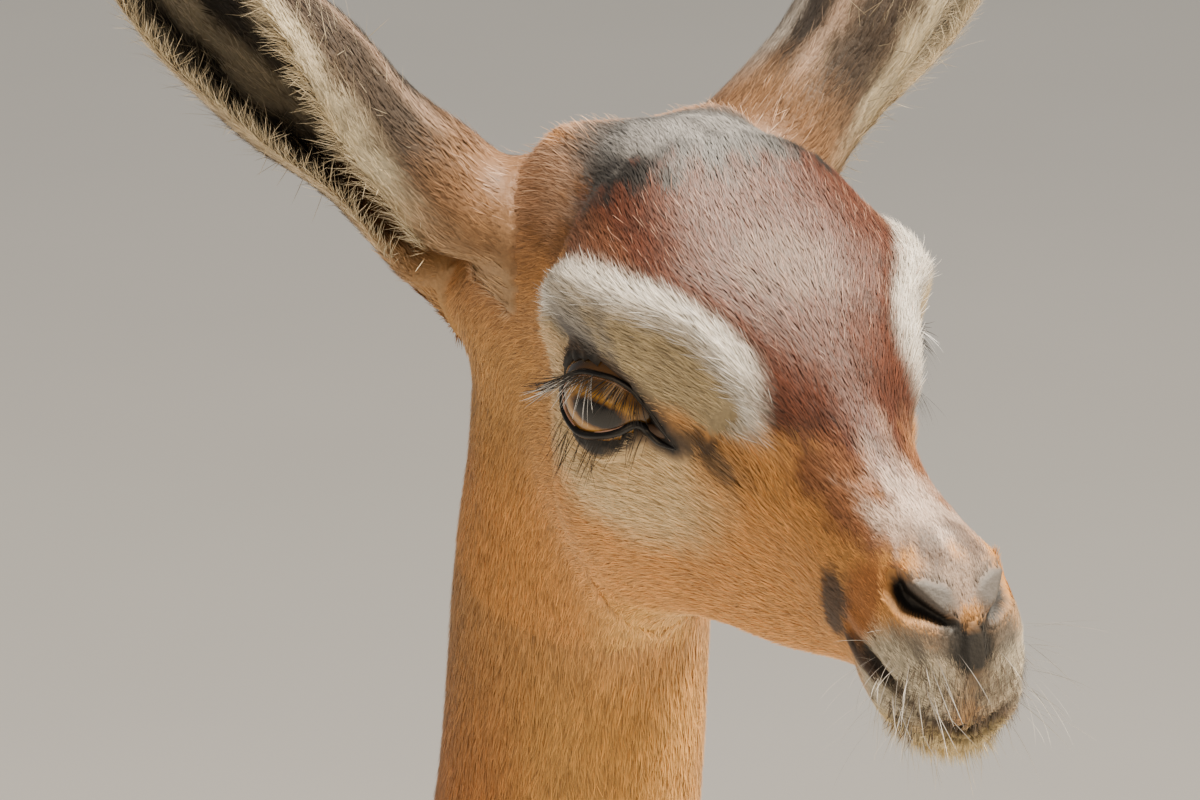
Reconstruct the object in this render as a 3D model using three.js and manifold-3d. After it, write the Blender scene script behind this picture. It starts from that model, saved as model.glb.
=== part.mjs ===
// Gerenuk, a hornless adult female, life size and standing square.
// Millimetres, +Z up. The animal faces -Y, its left side is +X, and its hooves rest on z = 0.
// Side-view places are given as forward and height, and turned into the part's frame at the end.

import * as THREE from 'three';
import { mergeVertices } from 'three/addons/utils/BufferGeometryUtils.js';
import Module from 'manifold-3d';

const wasm = await Module();
wasm.setup();

// Driving dimensions
const eyeHeight = 1360; // height of the eyes above the ground
const eyeForward = 498; // eyes ahead of the side-view zero, which lies under the ribs
const middleForward = 100.05; // half way between nose tip and tail, becomes y = 0
const headPitch = 15; // degrees that the muzzle points below level
const eyeRadius = 17.5;
const eyeCentre = [-11, 34, -7]; // ahead, out and above, in the head's own axes
const eyeTurn = 30; // degrees that each eye looks ahead of straight sideways
const lidThickness = 2;
const footOut = 69; // middle of each foot, out from the middle plane
const gap = 0.3; // air between neighbouring pieces
const clawGap = 0.9; // half of the cleft between the two claws of a foot

const deg = Math.PI / 180;

// Side-view place of a point given in the head's own axes: ahead of the eyes and above them
function headPoint(ahead, above) {
  const c = Math.cos(headPitch * deg);
  const s = Math.sin(headPitch * deg);
  return [eyeForward + ahead * c + above * s, eyeHeight - ahead * s + above * c];
}

// The same, the other way round
function headAxes(forward, height) {
  const c = Math.cos(headPitch * deg);
  const s = Math.sin(headPitch * deg);
  const f = forward - eyeForward;
  const z = height - eyeHeight;
  return [f * c - z * s, f * s + z * c];
}

// Smooth curve through rows of numbers at the given knots, with no overshoot between them
function curveThrough(knots, rows) {
  const n = knots.length;
  const slopes = rows.map((row, i) => row.map((value, k) => {
    if (i === 0) return (rows[1][k] - value) / (knots[1] - knots[0]);
    if (i === n - 1) return (value - rows[n - 2][k]) / (knots[n - 1] - knots[n - 2]);
    const h0 = knots[i] - knots[i - 1];
    const h1 = knots[i + 1] - knots[i];
    const d0 = (value - rows[i - 1][k]) / h0;
    const d1 = (rows[i + 1][k] - value) / h1;
    if (d0 * d1 <= 0) return 0;
    const w0 = 2 * h1 + h0;
    const w1 = h1 + 2 * h0;
    return (w0 + w1) / (w0 / d0 + w1 / d1);
  }));
  return (t) => {
    let i = 0;
    while (i < n - 2 && t > knots[i + 1]) i += 1;
    const h = knots[i + 1] - knots[i];
    const s = (t - knots[i]) / h;
    const a = 2 * s ** 3 - 3 * s ** 2 + 1;
    const b = s ** 3 - 2 * s ** 2 + s;
    const c = 3 * s ** 2 - 2 * s ** 3;
    const d = s ** 3 - s ** 2;
    return rows[i].map((value, k) => (
      a * value + b * h * slopes[i][k] + c * rows[i + 1][k] + d * h * slopes[i + 1][k]));
  };
}

// A station of a loft is one flat section across the body, named by the two places where it meets
// the side view's outline (top and bottom, or front and back), and by its width:
// [top forward, top height, bottom forward, bottom height, widest, half width, top power,
//  bottom power, out]
// widest is how far up the section it is widest, from 0 to 1, and the powers are those of a
// superellipse, 2 for a round section. out is how far its middle lies from the middle plane.

// One ring of points round a station, as [forward, out, height]
function ring(row, around) {
  const [topF, topZ, botF, botZ, widest, half, topPower, botPower, out = 0] = row;
  const points = [];
  for (let j = 0; j < around; j += 1) {
    const angle = (2 * Math.PI * j) / around;
    const c = Math.cos(angle);
    const s = Math.sin(angle);
    const power = 2 / (c >= 0 ? topPower : botPower);
    const rise = Math.sign(c) * Math.abs(c) ** power;
    const side = Math.sign(s) * Math.abs(s) ** power;
    const along = widest + rise * (c >= 0 ? 1 - widest : widest);
    points.push([botF + along * (topF - botF), out + half * side, botZ + along * (topZ - botZ)]);
  }
  return points;
}

// Rings from the first station to the last, each stretch cut into steps about stepLength long,
// or longer by coarser from one station on
function rings(stations, stepLength, around, coarseFrom = Infinity, coarser = 1) {
  const knots = [0];
  for (let i = 1; i < stations.length; i += 1) {
    const a = stations[i - 1];
    const b = stations[i];
    const top = Math.hypot(b[0] - a[0], b[1] - a[1]);
    const bottom = Math.hypot(b[2] - a[2], b[3] - a[3]);
    knots.push(knots[i - 1] + (top + bottom) / 2);
  }
  const rowAt = curveThrough(knots, stations);
  const result = [];
  for (let i = 0; i < knots.length - 1; i += 1) {
    const step = i < coarseFrom ? stepLength : stepLength * coarser;
    const steps = Math.max(1, Math.round((knots[i + 1] - knots[i]) / step));
    for (let k = 0; k < steps; k += 1) {
      result.push(ring(rowAt(knots[i] + ((knots[i + 1] - knots[i]) * k) / steps), around));
    }
  }
  result.push(ring(stations[stations.length - 1], around));
  return result;
}

// Closed mesh of a stack of rings, with a fan over each end, or for rings that run out along one
// face and back along the other, a strip that joins the two faces
function skinOver(stack, twoFaced = false) {
  const around = stack[0].length;
  const positions = [];
  const index = [];
  for (const row of stack) for (const p of row) positions.push(p[1], middleForward - p[0], p[2]);
  for (let i = 0; i < stack.length - 1; i += 1) {
    for (let j = 0; j < around; j += 1) {
      const a = i * around + j;
      const b = i * around + ((j + 1) % around);
      index.push(a, b, b + around, a, b + around, a + around);
    }
  }
  for (const end of [0, stack.length - 1]) {
    if (twoFaced) {
      for (let j = 0; j < around / 2 - 1; j += 1) {
        const a = end * around + j;
        const c = (end + 1) * around - 1 - j;
        if (end === 0) index.push(a + 1, a, c, a + 1, c, c - 1);
        else index.push(a, a + 1, c - 1, a, c - 1, c);
      }
      continue;
    }
    const centre = positions.length / 3;
    const mean = [0, 0, 0];
    for (let j = 0; j < around; j += 1) {
      for (let k = 0; k < 3; k += 1) mean[k] += positions[3 * (end * around + j) + k] / around;
    }
    positions.push(...mean);
    for (let j = 0; j < around; j += 1) {
      const a = end * around + j;
      const b = end * around + ((j + 1) % around);
      if (end === 0) index.push(centre, b, a);
      else index.push(centre, a, b);
    }
  }
  return meshOf(positions, index);
}

// Indexed geometry whose faces point outwards
function meshOf(positions, index) {
  let volume = 0;
  for (let t = 0; t < index.length; t += 3) {
    const [a, b, c] = [index[t], index[t + 1], index[t + 2]].map((i) => (
      new THREE.Vector3(positions[3 * i], positions[3 * i + 1], positions[3 * i + 2])));
    volume += a.dot(b.cross(c));
  }
  const order = volume > 0 ? index : index.slice().reverse();
  const geometry = new THREE.BufferGeometry();
  geometry.setAttribute('position', new THREE.Float32BufferAttribute(positions, 3));
  geometry.setIndex(order);
  return geometry;
}

// Every point moved out along the surface's normal
function grown(geometry, distance) {
  const copy = geometry.clone();
  copy.computeVertexNormals();
  const place = copy.getAttribute('position');
  const normal = copy.getAttribute('normal');
  for (let i = 0; i < place.count; i += 1) {
    place.setXYZ(
      i,
      place.getX(i) + distance * normal.getX(i),
      place.getY(i) + distance * normal.getY(i),
      place.getZ(i) + distance * normal.getZ(i),
    );
  }
  copy.deleteAttribute('normal');
  return copy;
}

// Exact solid of a closed geometry
function solid(geometry) {
  const copy = geometry.clone();
  copy.deleteAttribute('normal');
  copy.deleteAttribute('uv');
  const merged = mergeVertices(copy, 1e-4);
  return new wasm.Manifold(new wasm.Mesh({
    numProp: 3,
    vertProperties: new Float32Array(merged.getAttribute('position').array),
    triVerts: new Uint32Array(merged.getIndex().array),
  }));
}

// The largest closed piece of a solid, as a geometry
function largestOf(shape) {
  const pieces = shape.decompose();
  pieces.sort((a, b) => b.volume() - a.volume());
  const mesh = pieces[0].getMesh();
  const geometry = new THREE.BufferGeometry();
  geometry.setAttribute('position', new THREE.Float32BufferAttribute(mesh.vertProperties, 3));
  geometry.setIndex(Array.from(mesh.triVerts));
  return geometry;
}

// A big block that fills one side of a plane across the side view, set back from it by a margin.
// The plane passes through a forward and height place, and tilt is the block's direction from it,
// in degrees above straight ahead.
function blockBeyond(forward, height, tilt, margin) {
  const size = 2400;
  const block = new THREE.BoxGeometry(size, size, size);
  block.translate(0, -(size / 2 + margin), 0);
  block.rotateX(-tilt * deg);
  block.translate(0, middleForward - forward, height);
  return solid(block);
}

// Head: sections in the head's own axes, from the nose back to the crown
const muzzleAndFace = [
  [122, -30, 122, -38, 0.5, 1.5, 2, 2],
  [121, -22, 120.5, -44, 0.5, 11, 2.2, 2.2],
  [117, -12, 116, -48, 0.5, 16.5, 2.3, 2.2],
  [109, -3, 107, -49, 0.5, 20, 2.4, 2.2],
  [98, 4, 96, -47, 0.47, 21, 2.4, 2.2],
  [84, 6, 84, -45, 0.45, 20.5, 2.3, 2],
  [68, 8.5, 68, -51, 0.5, 20.5, 2.2, 2],
  [52, 15, 52, -58, 0.55, 22.5, 2.1, 2],
  [36, 23, 35, -65, 0.62, 27.5, 2.3, 2],
  [18, 31, 16, -71, 0.68, 35, 2.8, 2],
  [0, 37, -3, -78, 0.7, 43.5, 3.2, 2],
  [-22, 43, -20, -88, 0.7, 45.5, 3, 2],
  [-42, 47, -32, -97, 0.7, 43, 2.6, 2],
];

// Behind the crown the sections fan round the throat until they lie across the neck:
// [angle back from upright, reach, half width, widest, top power, bottom power]
const throat = [-31, -105];
const throatReach = 4;
const fanRoundThroat = [
  [8, 151, 40, 0.7, 2.4, 2],
  [22, 143, 38, 0.68, 2.2, 2],
  [36, 128, 36, 0.62, 2.1, 2],
  [52, 108, 35.5, 0.55, 2, 2],
  [70, 92, 35, 0.5, 2, 2],
  [88, 86, 35, 0.5, 2, 2],
];

// Neck: [forward, height, degrees that it leans, half depth, half width]
const neckPath = [
  [387, 1205, 20, 43, 35.5],
  [347, 1122, 21, 47, 38],
  [316, 1035, 21, 53, 42],
  [286, 950, 24, 60, 47],
];

// Chest, ribs, loin and rump in the side view
const torsoStations = [
  [200, 938, 333, 855, 0.5, 60, 2, 2],
  [184, 927, 338, 778, 0.45, 72, 2, 1.9],
  [175, 923, 320, 702, 0.45, 81, 2, 1.8],
  [168, 921, 286, 648, 0.46, 86, 2, 1.8],
  [160, 920, 242, 613, 0.47, 88, 2, 1.8],
  [150, 919, 195, 602, 0.48, 89, 2, 1.8],
  [120, 916, 140, 598, 0.48, 92, 2, 1.9],
  [80, 911, 85, 597, 0.48, 96, 2, 1.9],
  [20, 907, 20, 602, 0.47, 102, 2, 2],
  [-50, 908, -50, 614, 0.46, 105, 2, 2.1],
  [-120, 913, -120, 634, 0.47, 101, 2, 2.1],
  [-190, 918, -190, 663, 0.5, 94, 2.1, 2.1],
  [-250, 914, -245, 700, 0.55, 87, 2.2, 2],
  [-300, 898, -290, 741, 0.55, 77, 2.2, 2],
  [-340, 872, -325, 780, 0.55, 58, 2.1, 2],
  [-362, 848, -350, 806, 0.5, 32, 2, 2],
  [-368, 834, -364, 819, 0.5, 8, 2, 2],
];

// The whole trunk from nose to rump, as one row of stations
function trunkStations() {
  const face = muzzleAndFace.map(([tf, tz, bf, bz, ...rest]) => (
    [...headPoint(tf, tz), ...headPoint(bf, bz), ...rest, 0]));
  const fan = fanRoundThroat.map(([angle, reach, half, widest, topPower, botPower]) => {
    const back = -Math.sin(angle * deg);
    const up = Math.cos(angle * deg);
    const top = headPoint(throat[0] + back * reach, throat[1] + up * reach);
    const bottom = headPoint(throat[0] + back * throatReach, throat[1] + up * throatReach);
    return [...top, ...bottom, widest, half, topPower, botPower, 0];
  });
  const neck = neckPath.map(([forward, height, lean, depth, half]) => {
    const back = depth * Math.cos(lean * deg);
    const up = depth * Math.sin(lean * deg);
    return [forward - back, height + up, forward + back, height - up, 0.5, half, 2, 2, 0];
  });
  const torso = torsoStations.map((row) => [...row, 0]);
  return [...face, ...fan, ...neck, ...torso];
}

// Swellings and hollows of the head, in its own axes: centre, radii and push, each as
// [ahead, out, above]
const headForms = [
  { at: [-9, 50, -6], radii: [22, 14, 15], push: [0, -3, 0] }, // eye socket
  { at: [36, 32, 6], radii: [13, 13, 12], push: [0, -5, 0] }, // hollow before the eye
  { at: [39, 31, -2], radii: [12, 12, 9], push: [0, -6, 0] }, // hollow under the brow's front end
  { at: [-5, 44, -32], radii: [30, 12, 10], push: [0, 2, 0] }, // cheek bone
  { at: [-25, 36, -58], radii: [24, 14, 20], push: [0, 3, 0] }, // jaw muscle
  { at: [58, 26, -34], radii: [16, 12, 16], push: [0, -2.5, 0] }, // hollow behind the lips
  { at: [106, 16, -1], radii: [8, 7, 6], push: [0, 2, 1.5] }, // nostril wing
  { at: [112, 12, -16], radii: [9, 10, 7], push: [0, 1.5, 0] }, // upper lip
  { at: [108, 18, -38], radii: [14, 10, 9], push: [0, 2, 0] }, // lip pad
  { at: [-92, 40, -14], radii: [20, 18, 24], push: [-2, 15, 0] }, // gland under the ear
  { at: [-90, 34, 28], radii: [24, 22, 26], push: [0, 5, 18] }, // ear muscles on the poll
  { at: [-70, 0, 50], radii: [30, 26, 22], push: [0, 0, 4] }, // crown
  { at: [-14, 43, 14], radii: [22, 12, 12], push: [0, 6, 0] }, // puffed fur over the eye
];
const browLine = [
  [-46, 46, -4], [-38, 49, 8], [-22, 49, 21], [-4, 46, 27], [10, 38, 28], [24, 29, 23], [33, 24, 14],
  [37, 23, 5], [34, 26, -4],
];
const browRadius = 8.5;
const browPush = [0, 7, 3];
const midFade = 6; // sideways pushes fade out this close to the middle plane

// Points along the crest over each eye
const browCurve = curveThrough(browLine.map((p, i) => i), browLine);
const browPoints = [];
for (let i = 0; i <= 36; i += 1) browPoints.push(browCurve((i * (browLine.length - 1)) / 36));

// A trunk point moved by the head's swellings and hollows, the same on both sides
function shapeHead([forward, out, height]) {
  const [ahead, above] = headAxes(forward, height);
  if (ahead < -150 || above < -120) return [forward, out, height];
  const side = Math.abs(out);
  const place = [ahead, side, above];
  let nearest = Infinity;
  for (const p of browPoints) {
    nearest = Math.min(nearest, Math.hypot(place[0] - p[0], place[1] - p[1], place[2] - p[2]));
  }
  const crest = Math.exp(-((nearest / browRadius) ** 2));
  const move = browPush.map((v) => v * crest);
  for (const form of headForms) {
    let far = 0;
    for (let k = 0; k < 3; k += 1) far += ((place[k] - form.at[k]) / form.radii[k]) ** 2;
    const weight = Math.exp(-far);
    for (let k = 0; k < 3; k += 1) move[k] += weight * form.push[k];
  }
  const fade = Math.min(1, side / midFade);
  const [f, z] = headPoint(ahead + move[0], above + move[2]);
  return [f, Math.sign(out) * (side + move[1] * fade), z];
}

// The trunk as one closed mesh, at the fineness that a stretch of it needs
function trunkMesh(stepLength, around) {
  const stack = rings(trunkStations(), stepLength, around, muzzleAndFace.length, 1.6);
  return skinOver(stack.map((row) => row.map(shapeHead)));
}

// Ear: a tall cup on a solid root, its front wall curled inwards over the hollow.
// Each row of earForm is [distance from the root, radius, arc to the front rim, arc to the back
// rim, wall], the arcs in degrees from the middle of the cup's back.
const earRoot = [-86.7, 25.4, -14.4]; // in the head's axes, inside the skull
const earAim = [-0.088, 0.726, 0.682]; // forward, out, up
const earTurn = 52; // how far the mouth of the cup turns from forward to outwards and down
const earBend = [2.7, 2.7]; // how far the tip leans towards the mouth and across it
const earBendAt = 150; // distance from the root that the bend is given at
const earForm = [
  [0, 28, 150, 120, 26.5],
  [14, 26, 160, 132, 23.5],
  [30, 22.4, 170, 145, 14],
  [46, 20, 165, 152, 4.5],
  [60, 19, 160, 160, 2.8],
  [90, 21.6, 136, 163, 2.3],
  [120, 20.1, 104, 150, 2],
  [147, 14.5, 76, 131, 1.8],
  [163, 9, 68, 112, 1.5],
  [171, 3, 64, 100, 1.3],
];
const rimShare = 0.5; // wall at the rim, as a share of the wall at the back of the cup

// Closed shell of one ear, from the outer face round the rim to the inner face
function earMesh(side, rows, across) {
  const aim = new THREE.Vector3(earAim[0], earAim[1] * side, earAim[2]).normalize();
  const ahead = new THREE.Vector3(1, 0, 0).addScaledVector(aim, -aim.x).normalize();
  const down = new THREE.Vector3().crossVectors(aim, ahead).multiplyScalar(side);
  const mouth = ahead.clone().multiplyScalar(Math.cos(earTurn * deg));
  mouth.addScaledVector(down, Math.sin(earTurn * deg));
  const over = new THREE.Vector3().crossVectors(mouth, aim).multiplyScalar(side);
  const [rootForward, rootHeight] = headPoint(earRoot[0], earRoot[2]);
  const formAt = curveThrough(earForm.map((row) => row[0]), earForm.map((row) => row.slice(1)));
  const earLength = earForm[earForm.length - 1][0];
  const stack = [];
  for (let i = 0; i <= rows; i += 1) {
    const distance = (earLength * i) / rows;
    const [radius, frontArc, backArc, wall] = formAt(distance);
    const bend = (distance / earBendAt) ** 2;
    const centre = new THREE.Vector3(rootForward, earRoot[1] * side, rootHeight);
    centre.addScaledVector(aim, distance);
    centre.addScaledVector(mouth, earBend[0] * bend);
    centre.addScaledVector(over, earBend[1] * bend);
    const row = [];
    for (const face of [1, -1]) {
      for (let j = 0; j <= across; j += 1) {
        const share = face * ((2 * j) / across - 1);
        const turn = share * (share > 0 ? frontArc : backArc) * deg;
        const inward = face < 0 ? wall * (1 - (1 - rimShare) * Math.abs(share) ** 3) : 0;
        const p = centre.clone();
        p.addScaledVector(over, (radius - inward) * Math.sin(turn));
        p.addScaledVector(mouth, (inward - radius) * Math.cos(turn));
        row.push([p.x, p.y, p.z]);
      }
    }
    stack.push(row);
  }
  return skinOver(stack, true);
}

// Legs: sections from the body down, named by their front and back edge in the side view
const foreStations = [
  [188, 902, 132, 888, 0.5, 10, 2, 2, 50],
  [256, 850, 134, 826, 0.5, 24, 2, 2, 57],
  [312, 764, 146, 738, 0.5, 32, 2, 2, 63],
  [292, 684, 154, 658, 0.5, 32, 2, 2, 67],
  [256, 622, 166, 602, 0.5, 28, 2, 2, 70],
  [241, 560, 184, 548, 0.5, 22.5, 2, 2, 71],
  [236, 480, 194, 474, 0.5, 18, 2, 2, 70],
  [233, 400, 198, 397, 0.5, 15.5, 2, 2, 69],
  [234, 352, 197, 350, 0.5, 16.5, 2.2, 2.2, footOut],
  [229, 312, 200, 312, 0.5, 12.5, 2, 2, footOut],
  [225, 230, 201, 230, 0.5, 10.5, 2, 2, footOut],
  [224, 150, 198, 150, 0.5, 11, 2, 2, footOut],
  [228, 117, 192, 111, 0.5, 14.5, 2, 2, footOut],
  [240, 84, 208, 68, 0.5, 13.5, 2, 2, footOut],
  [252, 49, 217, 38, 0.5, 17, 2.2, 2.2, footOut],
];
const hindStations = [
  [-205, 894, -298, 883, 0.5, 14, 2, 2, 46],
  [-168, 846, -342, 838, 0.5, 34, 2, 2, 53],
  [-142, 772, -364, 774, 0.5, 42, 2, 2, 58],
  [-122, 696, -350, 704, 0.5, 41, 2, 2, 62],
  [-116, 638, -314, 644, 0.5, 37, 2, 2, 66],
  [-140, 576, -292, 586, 0.5, 33, 2, 2, 69],
  [-200, 520, -300, 535, 0.5, 25, 2, 2, 70],
  [-255, 460, -322, 475, 0.5, 18, 2, 2, 70],
  [-290, 420, -352, 432, 0.5, 15.5, 2, 2, 70],
  [-300, 385, -352, 385, 0.5, 16.5, 2, 2, footOut],
  [-306, 345, -343, 342, 0.5, 14, 2, 2, footOut],
  [-310, 290, -338, 290, 0.5, 12, 2, 2, footOut],
  [-309, 200, -335, 200, 0.5, 10.8, 2, 2, footOut],
  [-306, 150, -333, 150, 0.5, 11.5, 2, 2, footOut],
  [-300, 118, -338, 112, 0.5, 14.5, 2, 2, footOut],
  [-287, 84, -320, 68, 0.5, 13.5, 2, 2, footOut],
  [-273, 49, -308, 38, 0.5, 17, 2.2, 2.2, footOut],
];
const kneeCut = [215, 376]; // where the foreleg is parted, just above the knee
const hockCut = [-315, 452]; // where the hind leg is parted, just above the hock

function legMesh(stations, side, stepLength, around) {
  const mirrored = stations.map((row) => [...row.slice(0, 8), row[8] * side]);
  return skinOver(rings(mirrored, stepLength, around));
}

// Claws: each foot stands on two, flat underneath and flat on the faces of the cleft.
// Sections run from the hairline down to the sole, measured from the middle of the hairline.
const clawStations = [
  [17.5, 5.4, -17.5, -5.6, 0.42, 8.6, 1.9, 2.4],
  [27, -13, -20, -20, 0.42, 9, 1.6, 2.4],
  [36, -30, -19, -35, 0.42, 8.8, 1.5, 2.4],
  [41, -43.5, -16, -43.5, 0.42, 8, 1.4, 2.4],
];
const hairline = 43.5; // height of the middle of the hairline
const clawOut = 8.4; // middle of a claw from the middle of the foot

function clawMesh(footForward, side, half) {
  const centre = footOut * side + clawOut * half;
  const placed = clawStations.map(([tf, tz, bf, bz, ...rest], i) => {
    const drop = i === 0 ? gap : 0;
    const top = [footForward + tf, hairline + tz - drop];
    const bottom = [footForward + bf, hairline + bz - drop];
    return [...top, ...bottom, ...rest, centre];
  });
  const stack = rings(placed, 12, 14);
  const limit = footOut * side + clawGap * half;
  const flat = stack.map((row) => row.map(([f, out, z]) => (
    [f, half > 0 ? Math.max(out, limit) : Math.min(out, limit), z])));
  return skinOver(flat);
}

// Tail: a thin switch that hangs behind the rump: [forward, height, radius]
const tailPath = [
  [-338, 878, 13],
  [-364, 872, 12],
  [-383, 848, 10.5],
  [-391, 805, 9],
  [-395, 750, 8],
  [-397, 690, 7],
  [-397, 650, 6],
  [-396, 620, 4],
  [-396, 596, 1.5],
];

function tailMesh() {
  const rows = tailPath.map(([forward, height, radius], i) => {
    const next = tailPath[Math.min(i + 1, tailPath.length - 1)];
    const last = tailPath[Math.max(i - 1, 0)];
    const run = new THREE.Vector2(next[0] - last[0], next[1] - last[1]).normalize();
    const across = [run.y * radius, -run.x * radius];
    return [forward + across[0], height + across[1], forward - across[0], height - across[1],
      0.5, radius, 2, 2, 0];
  });
  return skinOver(rings(rows, 22, 12));
}

// Finishes: [colour, roughness]
const finishes = {
  coat: ['#a87a52', 0.85],
  saddle: ['#7a4a2c', 0.85],
  earSkin: ['#9c8672', 0.85],
  eye: ['#20140c', 0.08],
  hoof: ['#2b2522', 0.45],
  tailTuft: ['#2a211c', 0.9],
};

// Dewclaws: two small horn points behind each fetlock, pointing down and back
const dewclawRadius = 4.6;
const dewclawLength = 13;
const dewclawHeight = 106;
const dewclawOut = 6.5; // from the middle of the foot
const dewclawTilt = -50; // degrees that the point turns down from straight back

function dewclaw(backForward, side, half) {
  const point = new THREE.ConeGeometry(dewclawRadius, dewclawLength, 7);
  point.rotateX(dewclawTilt * deg);
  point.translate((footOut + dewclawOut * half) * side, middleForward - backForward, dewclawHeight);
  return point;
}

// Tuft: flat tapered locks that lie down the last part of the tail and overlap
const tuftTop = 690; // height of the highest lock's root
const tuftStep = 16; // drop from one ring of locks to the next
const tuftRings = 4;
const locksInRing = 3;
const lockLength = 70;
const lockWidth = 10;
const lockThickness = 2.2;
const lockReach = [5.5, 1.9]; // middle of a lock from the tail's middle, and more for each ring below
const tuftForward = -396; // the tail's place under the tuft

function tuftLock(level, place) {
  const round = ((place + 0.5 * (level % 2)) / locksInRing) * 2 * Math.PI;
  const away = new THREE.Vector2(Math.cos(round), Math.sin(round));
  const top = tuftTop - level * tuftStep;
  const length = lockLength * (1 - 0.06 * level + 0.05 * Math.sin(3 * place + level));
  const stack = [];
  const reach = lockReach[0] + lockReach[1] * (tuftRings - level);
  const sections = [[0, 1.5, 0.7], [0.3, reach, 1], [0.7, reach + 1, 0.8], [1, reach - 2, 0.1]];
  for (const [share, out, wide] of sections) {
    const half = (lockWidth * wide) / 2;
    const thick = (lockThickness * Math.max(wide, 0.3)) / 2;
    const row = [[half, 0], [0, thick], [-half, 0], [0, -thick]].map(([across, face]) => [
      tuftForward + away.x * (out + face) - away.y * across,
      away.y * (out + face) + away.x * across,
      top - share * length]);
    stack.push(row);
  }
  return skinOver(stack);
}

const model = new THREE.Group();

function addPiece(name, geometry, finish) {
  const [colour, roughness] = finishes[finish];
  const material = new THREE.MeshStandardMaterial({ color: colour, roughness, metalness: 0 });
  const mesh = new THREE.Mesh(geometry, material);
  mesh.name = name;
  model.add(mesh);
}

// Part-frame place of a point in the head's own axes
function headPlace(ahead, out, above) {
  const [forward, height] = headPoint(ahead, above);
  return new THREE.Vector3(out, middleForward - forward, height);
}

// Eyes, set in sockets that leave the gap all round
function eyeball(side, radius) {
  const ball = new THREE.SphereGeometry(radius, 18, 12);
  ball.rotateZ(side * 90 * deg);
  const centre = headPlace(eyeCentre[0], eyeCentre[1] * side, eyeCentre[2]);
  ball.translate(centre.x, centre.y, centre.z);
  return ball;
}

// Outline of the opening between the lids, seen along the eye: [towards the nose, up]
const upperLid = [[-15.5, -2.5], [-13, 3.5], [-6, 9.2], [1.5, 10.5], [7, 9.4], [13, 6], [19, 1.5]];
const lowerLid = [
  [23.5, -2], [19, -2.8], [14.5, -1.4], [11, 0], [7, -3], [2, -5.8], [-6, -8.6], [-13, -6.5],
];
const lidCutFrom = 7; // the opening is cut from this far out of the eye's centre
const lidCutDepth = 30;

// Block that opens the lids over one eye
function lidOpening(side) {
  const outline = new THREE.Shape([...upperLid, ...lowerLid].map(([h, v]) => new THREE.Vector2(h, v)));
  const block = new THREE.ExtrudeGeometry(outline, { depth: lidCutDepth, bevelEnabled: false });
  const centre = headPlace(eyeCentre[0], eyeCentre[1] * side, eyeCentre[2]);
  const along = [Math.cos(eyeTurn * deg), -Math.sin(eyeTurn * deg) * side, 0];
  const look = [Math.sin(eyeTurn * deg), Math.cos(eyeTurn * deg) * side, 0];
  const axis = (v) => headPlace(...v).sub(headPlace(0, 0, 0));
  const frame = new THREE.Matrix4().makeBasis(axis(along), axis([0, 0, 1]), axis(look));
  block.translate(0, 0, lidCutFrom);
  block.applyMatrix4(frame);
  block.translate(centre.x, centre.y, centre.z);
  return closedUp(block);
}

// Extruded geometry with shared corners and outward faces
function closedUp(geometry) {
  const copy = geometry.clone();
  copy.deleteAttribute('normal');
  copy.deleteAttribute('uv');
  const merged = mergeVertices(copy, 1e-3);
  return meshOf(Array.from(merged.getAttribute('position').array), Array.from(merged.getIndex().array));
}

// Mouth: a thin groove round the front of the muzzle from corner to corner.
// Each row is [ahead, out, above] on the lips.
const mouthLine = [
  [84, 21.5, -23], [95, 22, -24], [106, 21, -26], [115, 17, -30], [120, 10, -35.5], [122, 0, -40],
];
const mouthDepth = 5;
const mouthWidth = 1.4;
const mouthMiddle = 88; // the groove is cut towards this place ahead, in the middle plane
const mouthSteps = 24;

function mouthGroove() {
  const both = [...mouthLine, ...mouthLine.slice(0, -1).reverse().map(([x, d, z]) => [x, -d, z])];
  const lineAt = curveThrough(both.map((p, i) => i), both);
  const stack = [];
  for (let i = 0; i <= mouthSteps; i += 1) {
    const [x, d, z] = lineAt((i * (both.length - 1)) / mouthSteps);
    const inward = new THREE.Vector2(mouthMiddle - x, -d).normalize();
    const end = Math.min(1, Math.min(i, mouthSteps - i) / 3 + 0.3);
    const corners = [[-3, mouthWidth], [mouthDepth * end, mouthWidth * 0.4]];
    const row = [];
    for (const [deep, wide] of corners) {
      row.push([x + inward.x * deep, d + inward.y * deep, z + wide / 2]);
    }
    for (const [deep, wide] of corners.reverse()) {
      row.push([x + inward.x * deep, d + inward.y * deep, z - wide / 2]);
    }
    stack.push(row.map(([ahead, out, above]) => {
      const [forward, height] = headPoint(ahead, above);
      return [forward, out, height];
    }));
  }
  return skinOver(stack);
}

// Nostril: a comma that runs back and up from the nose tip and deepens at its rear end.
// Each row is [ahead, out, above, radius].
const nostrilLine = [
  [119, 3.5, -11, 0.8],
  [113.5, 9.5, -9.5, 1.5],
  [108, 15.5, -7, 2.4],
  [102.5, 18.5, -4, 2.6],
  [98.5, 18.5, -1, 1.2],
];
const nostrilWide = 1.6; // how much wider than high the pit is

function nostrilPit(side) {
  const lineAt = curveThrough(nostrilLine.map((p, i) => i), nostrilLine);
  const stack = [];
  for (let i = 0; i <= 10; i += 1) {
    const [x, d, z, r] = lineAt((i * (nostrilLine.length - 1)) / 10);
    const row = [];
    for (let j = 0; j < 8; j += 1) {
      const turn = (2 * Math.PI * j) / 8;
      const [forward, height] = headPoint(x, z + r * Math.sin(turn));
      row.push([forward, side * (d + nostrilWide * r * Math.cos(turn)), height]);
    }
    stack.push(row);
  }
  return skinOver(stack);
}

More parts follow.
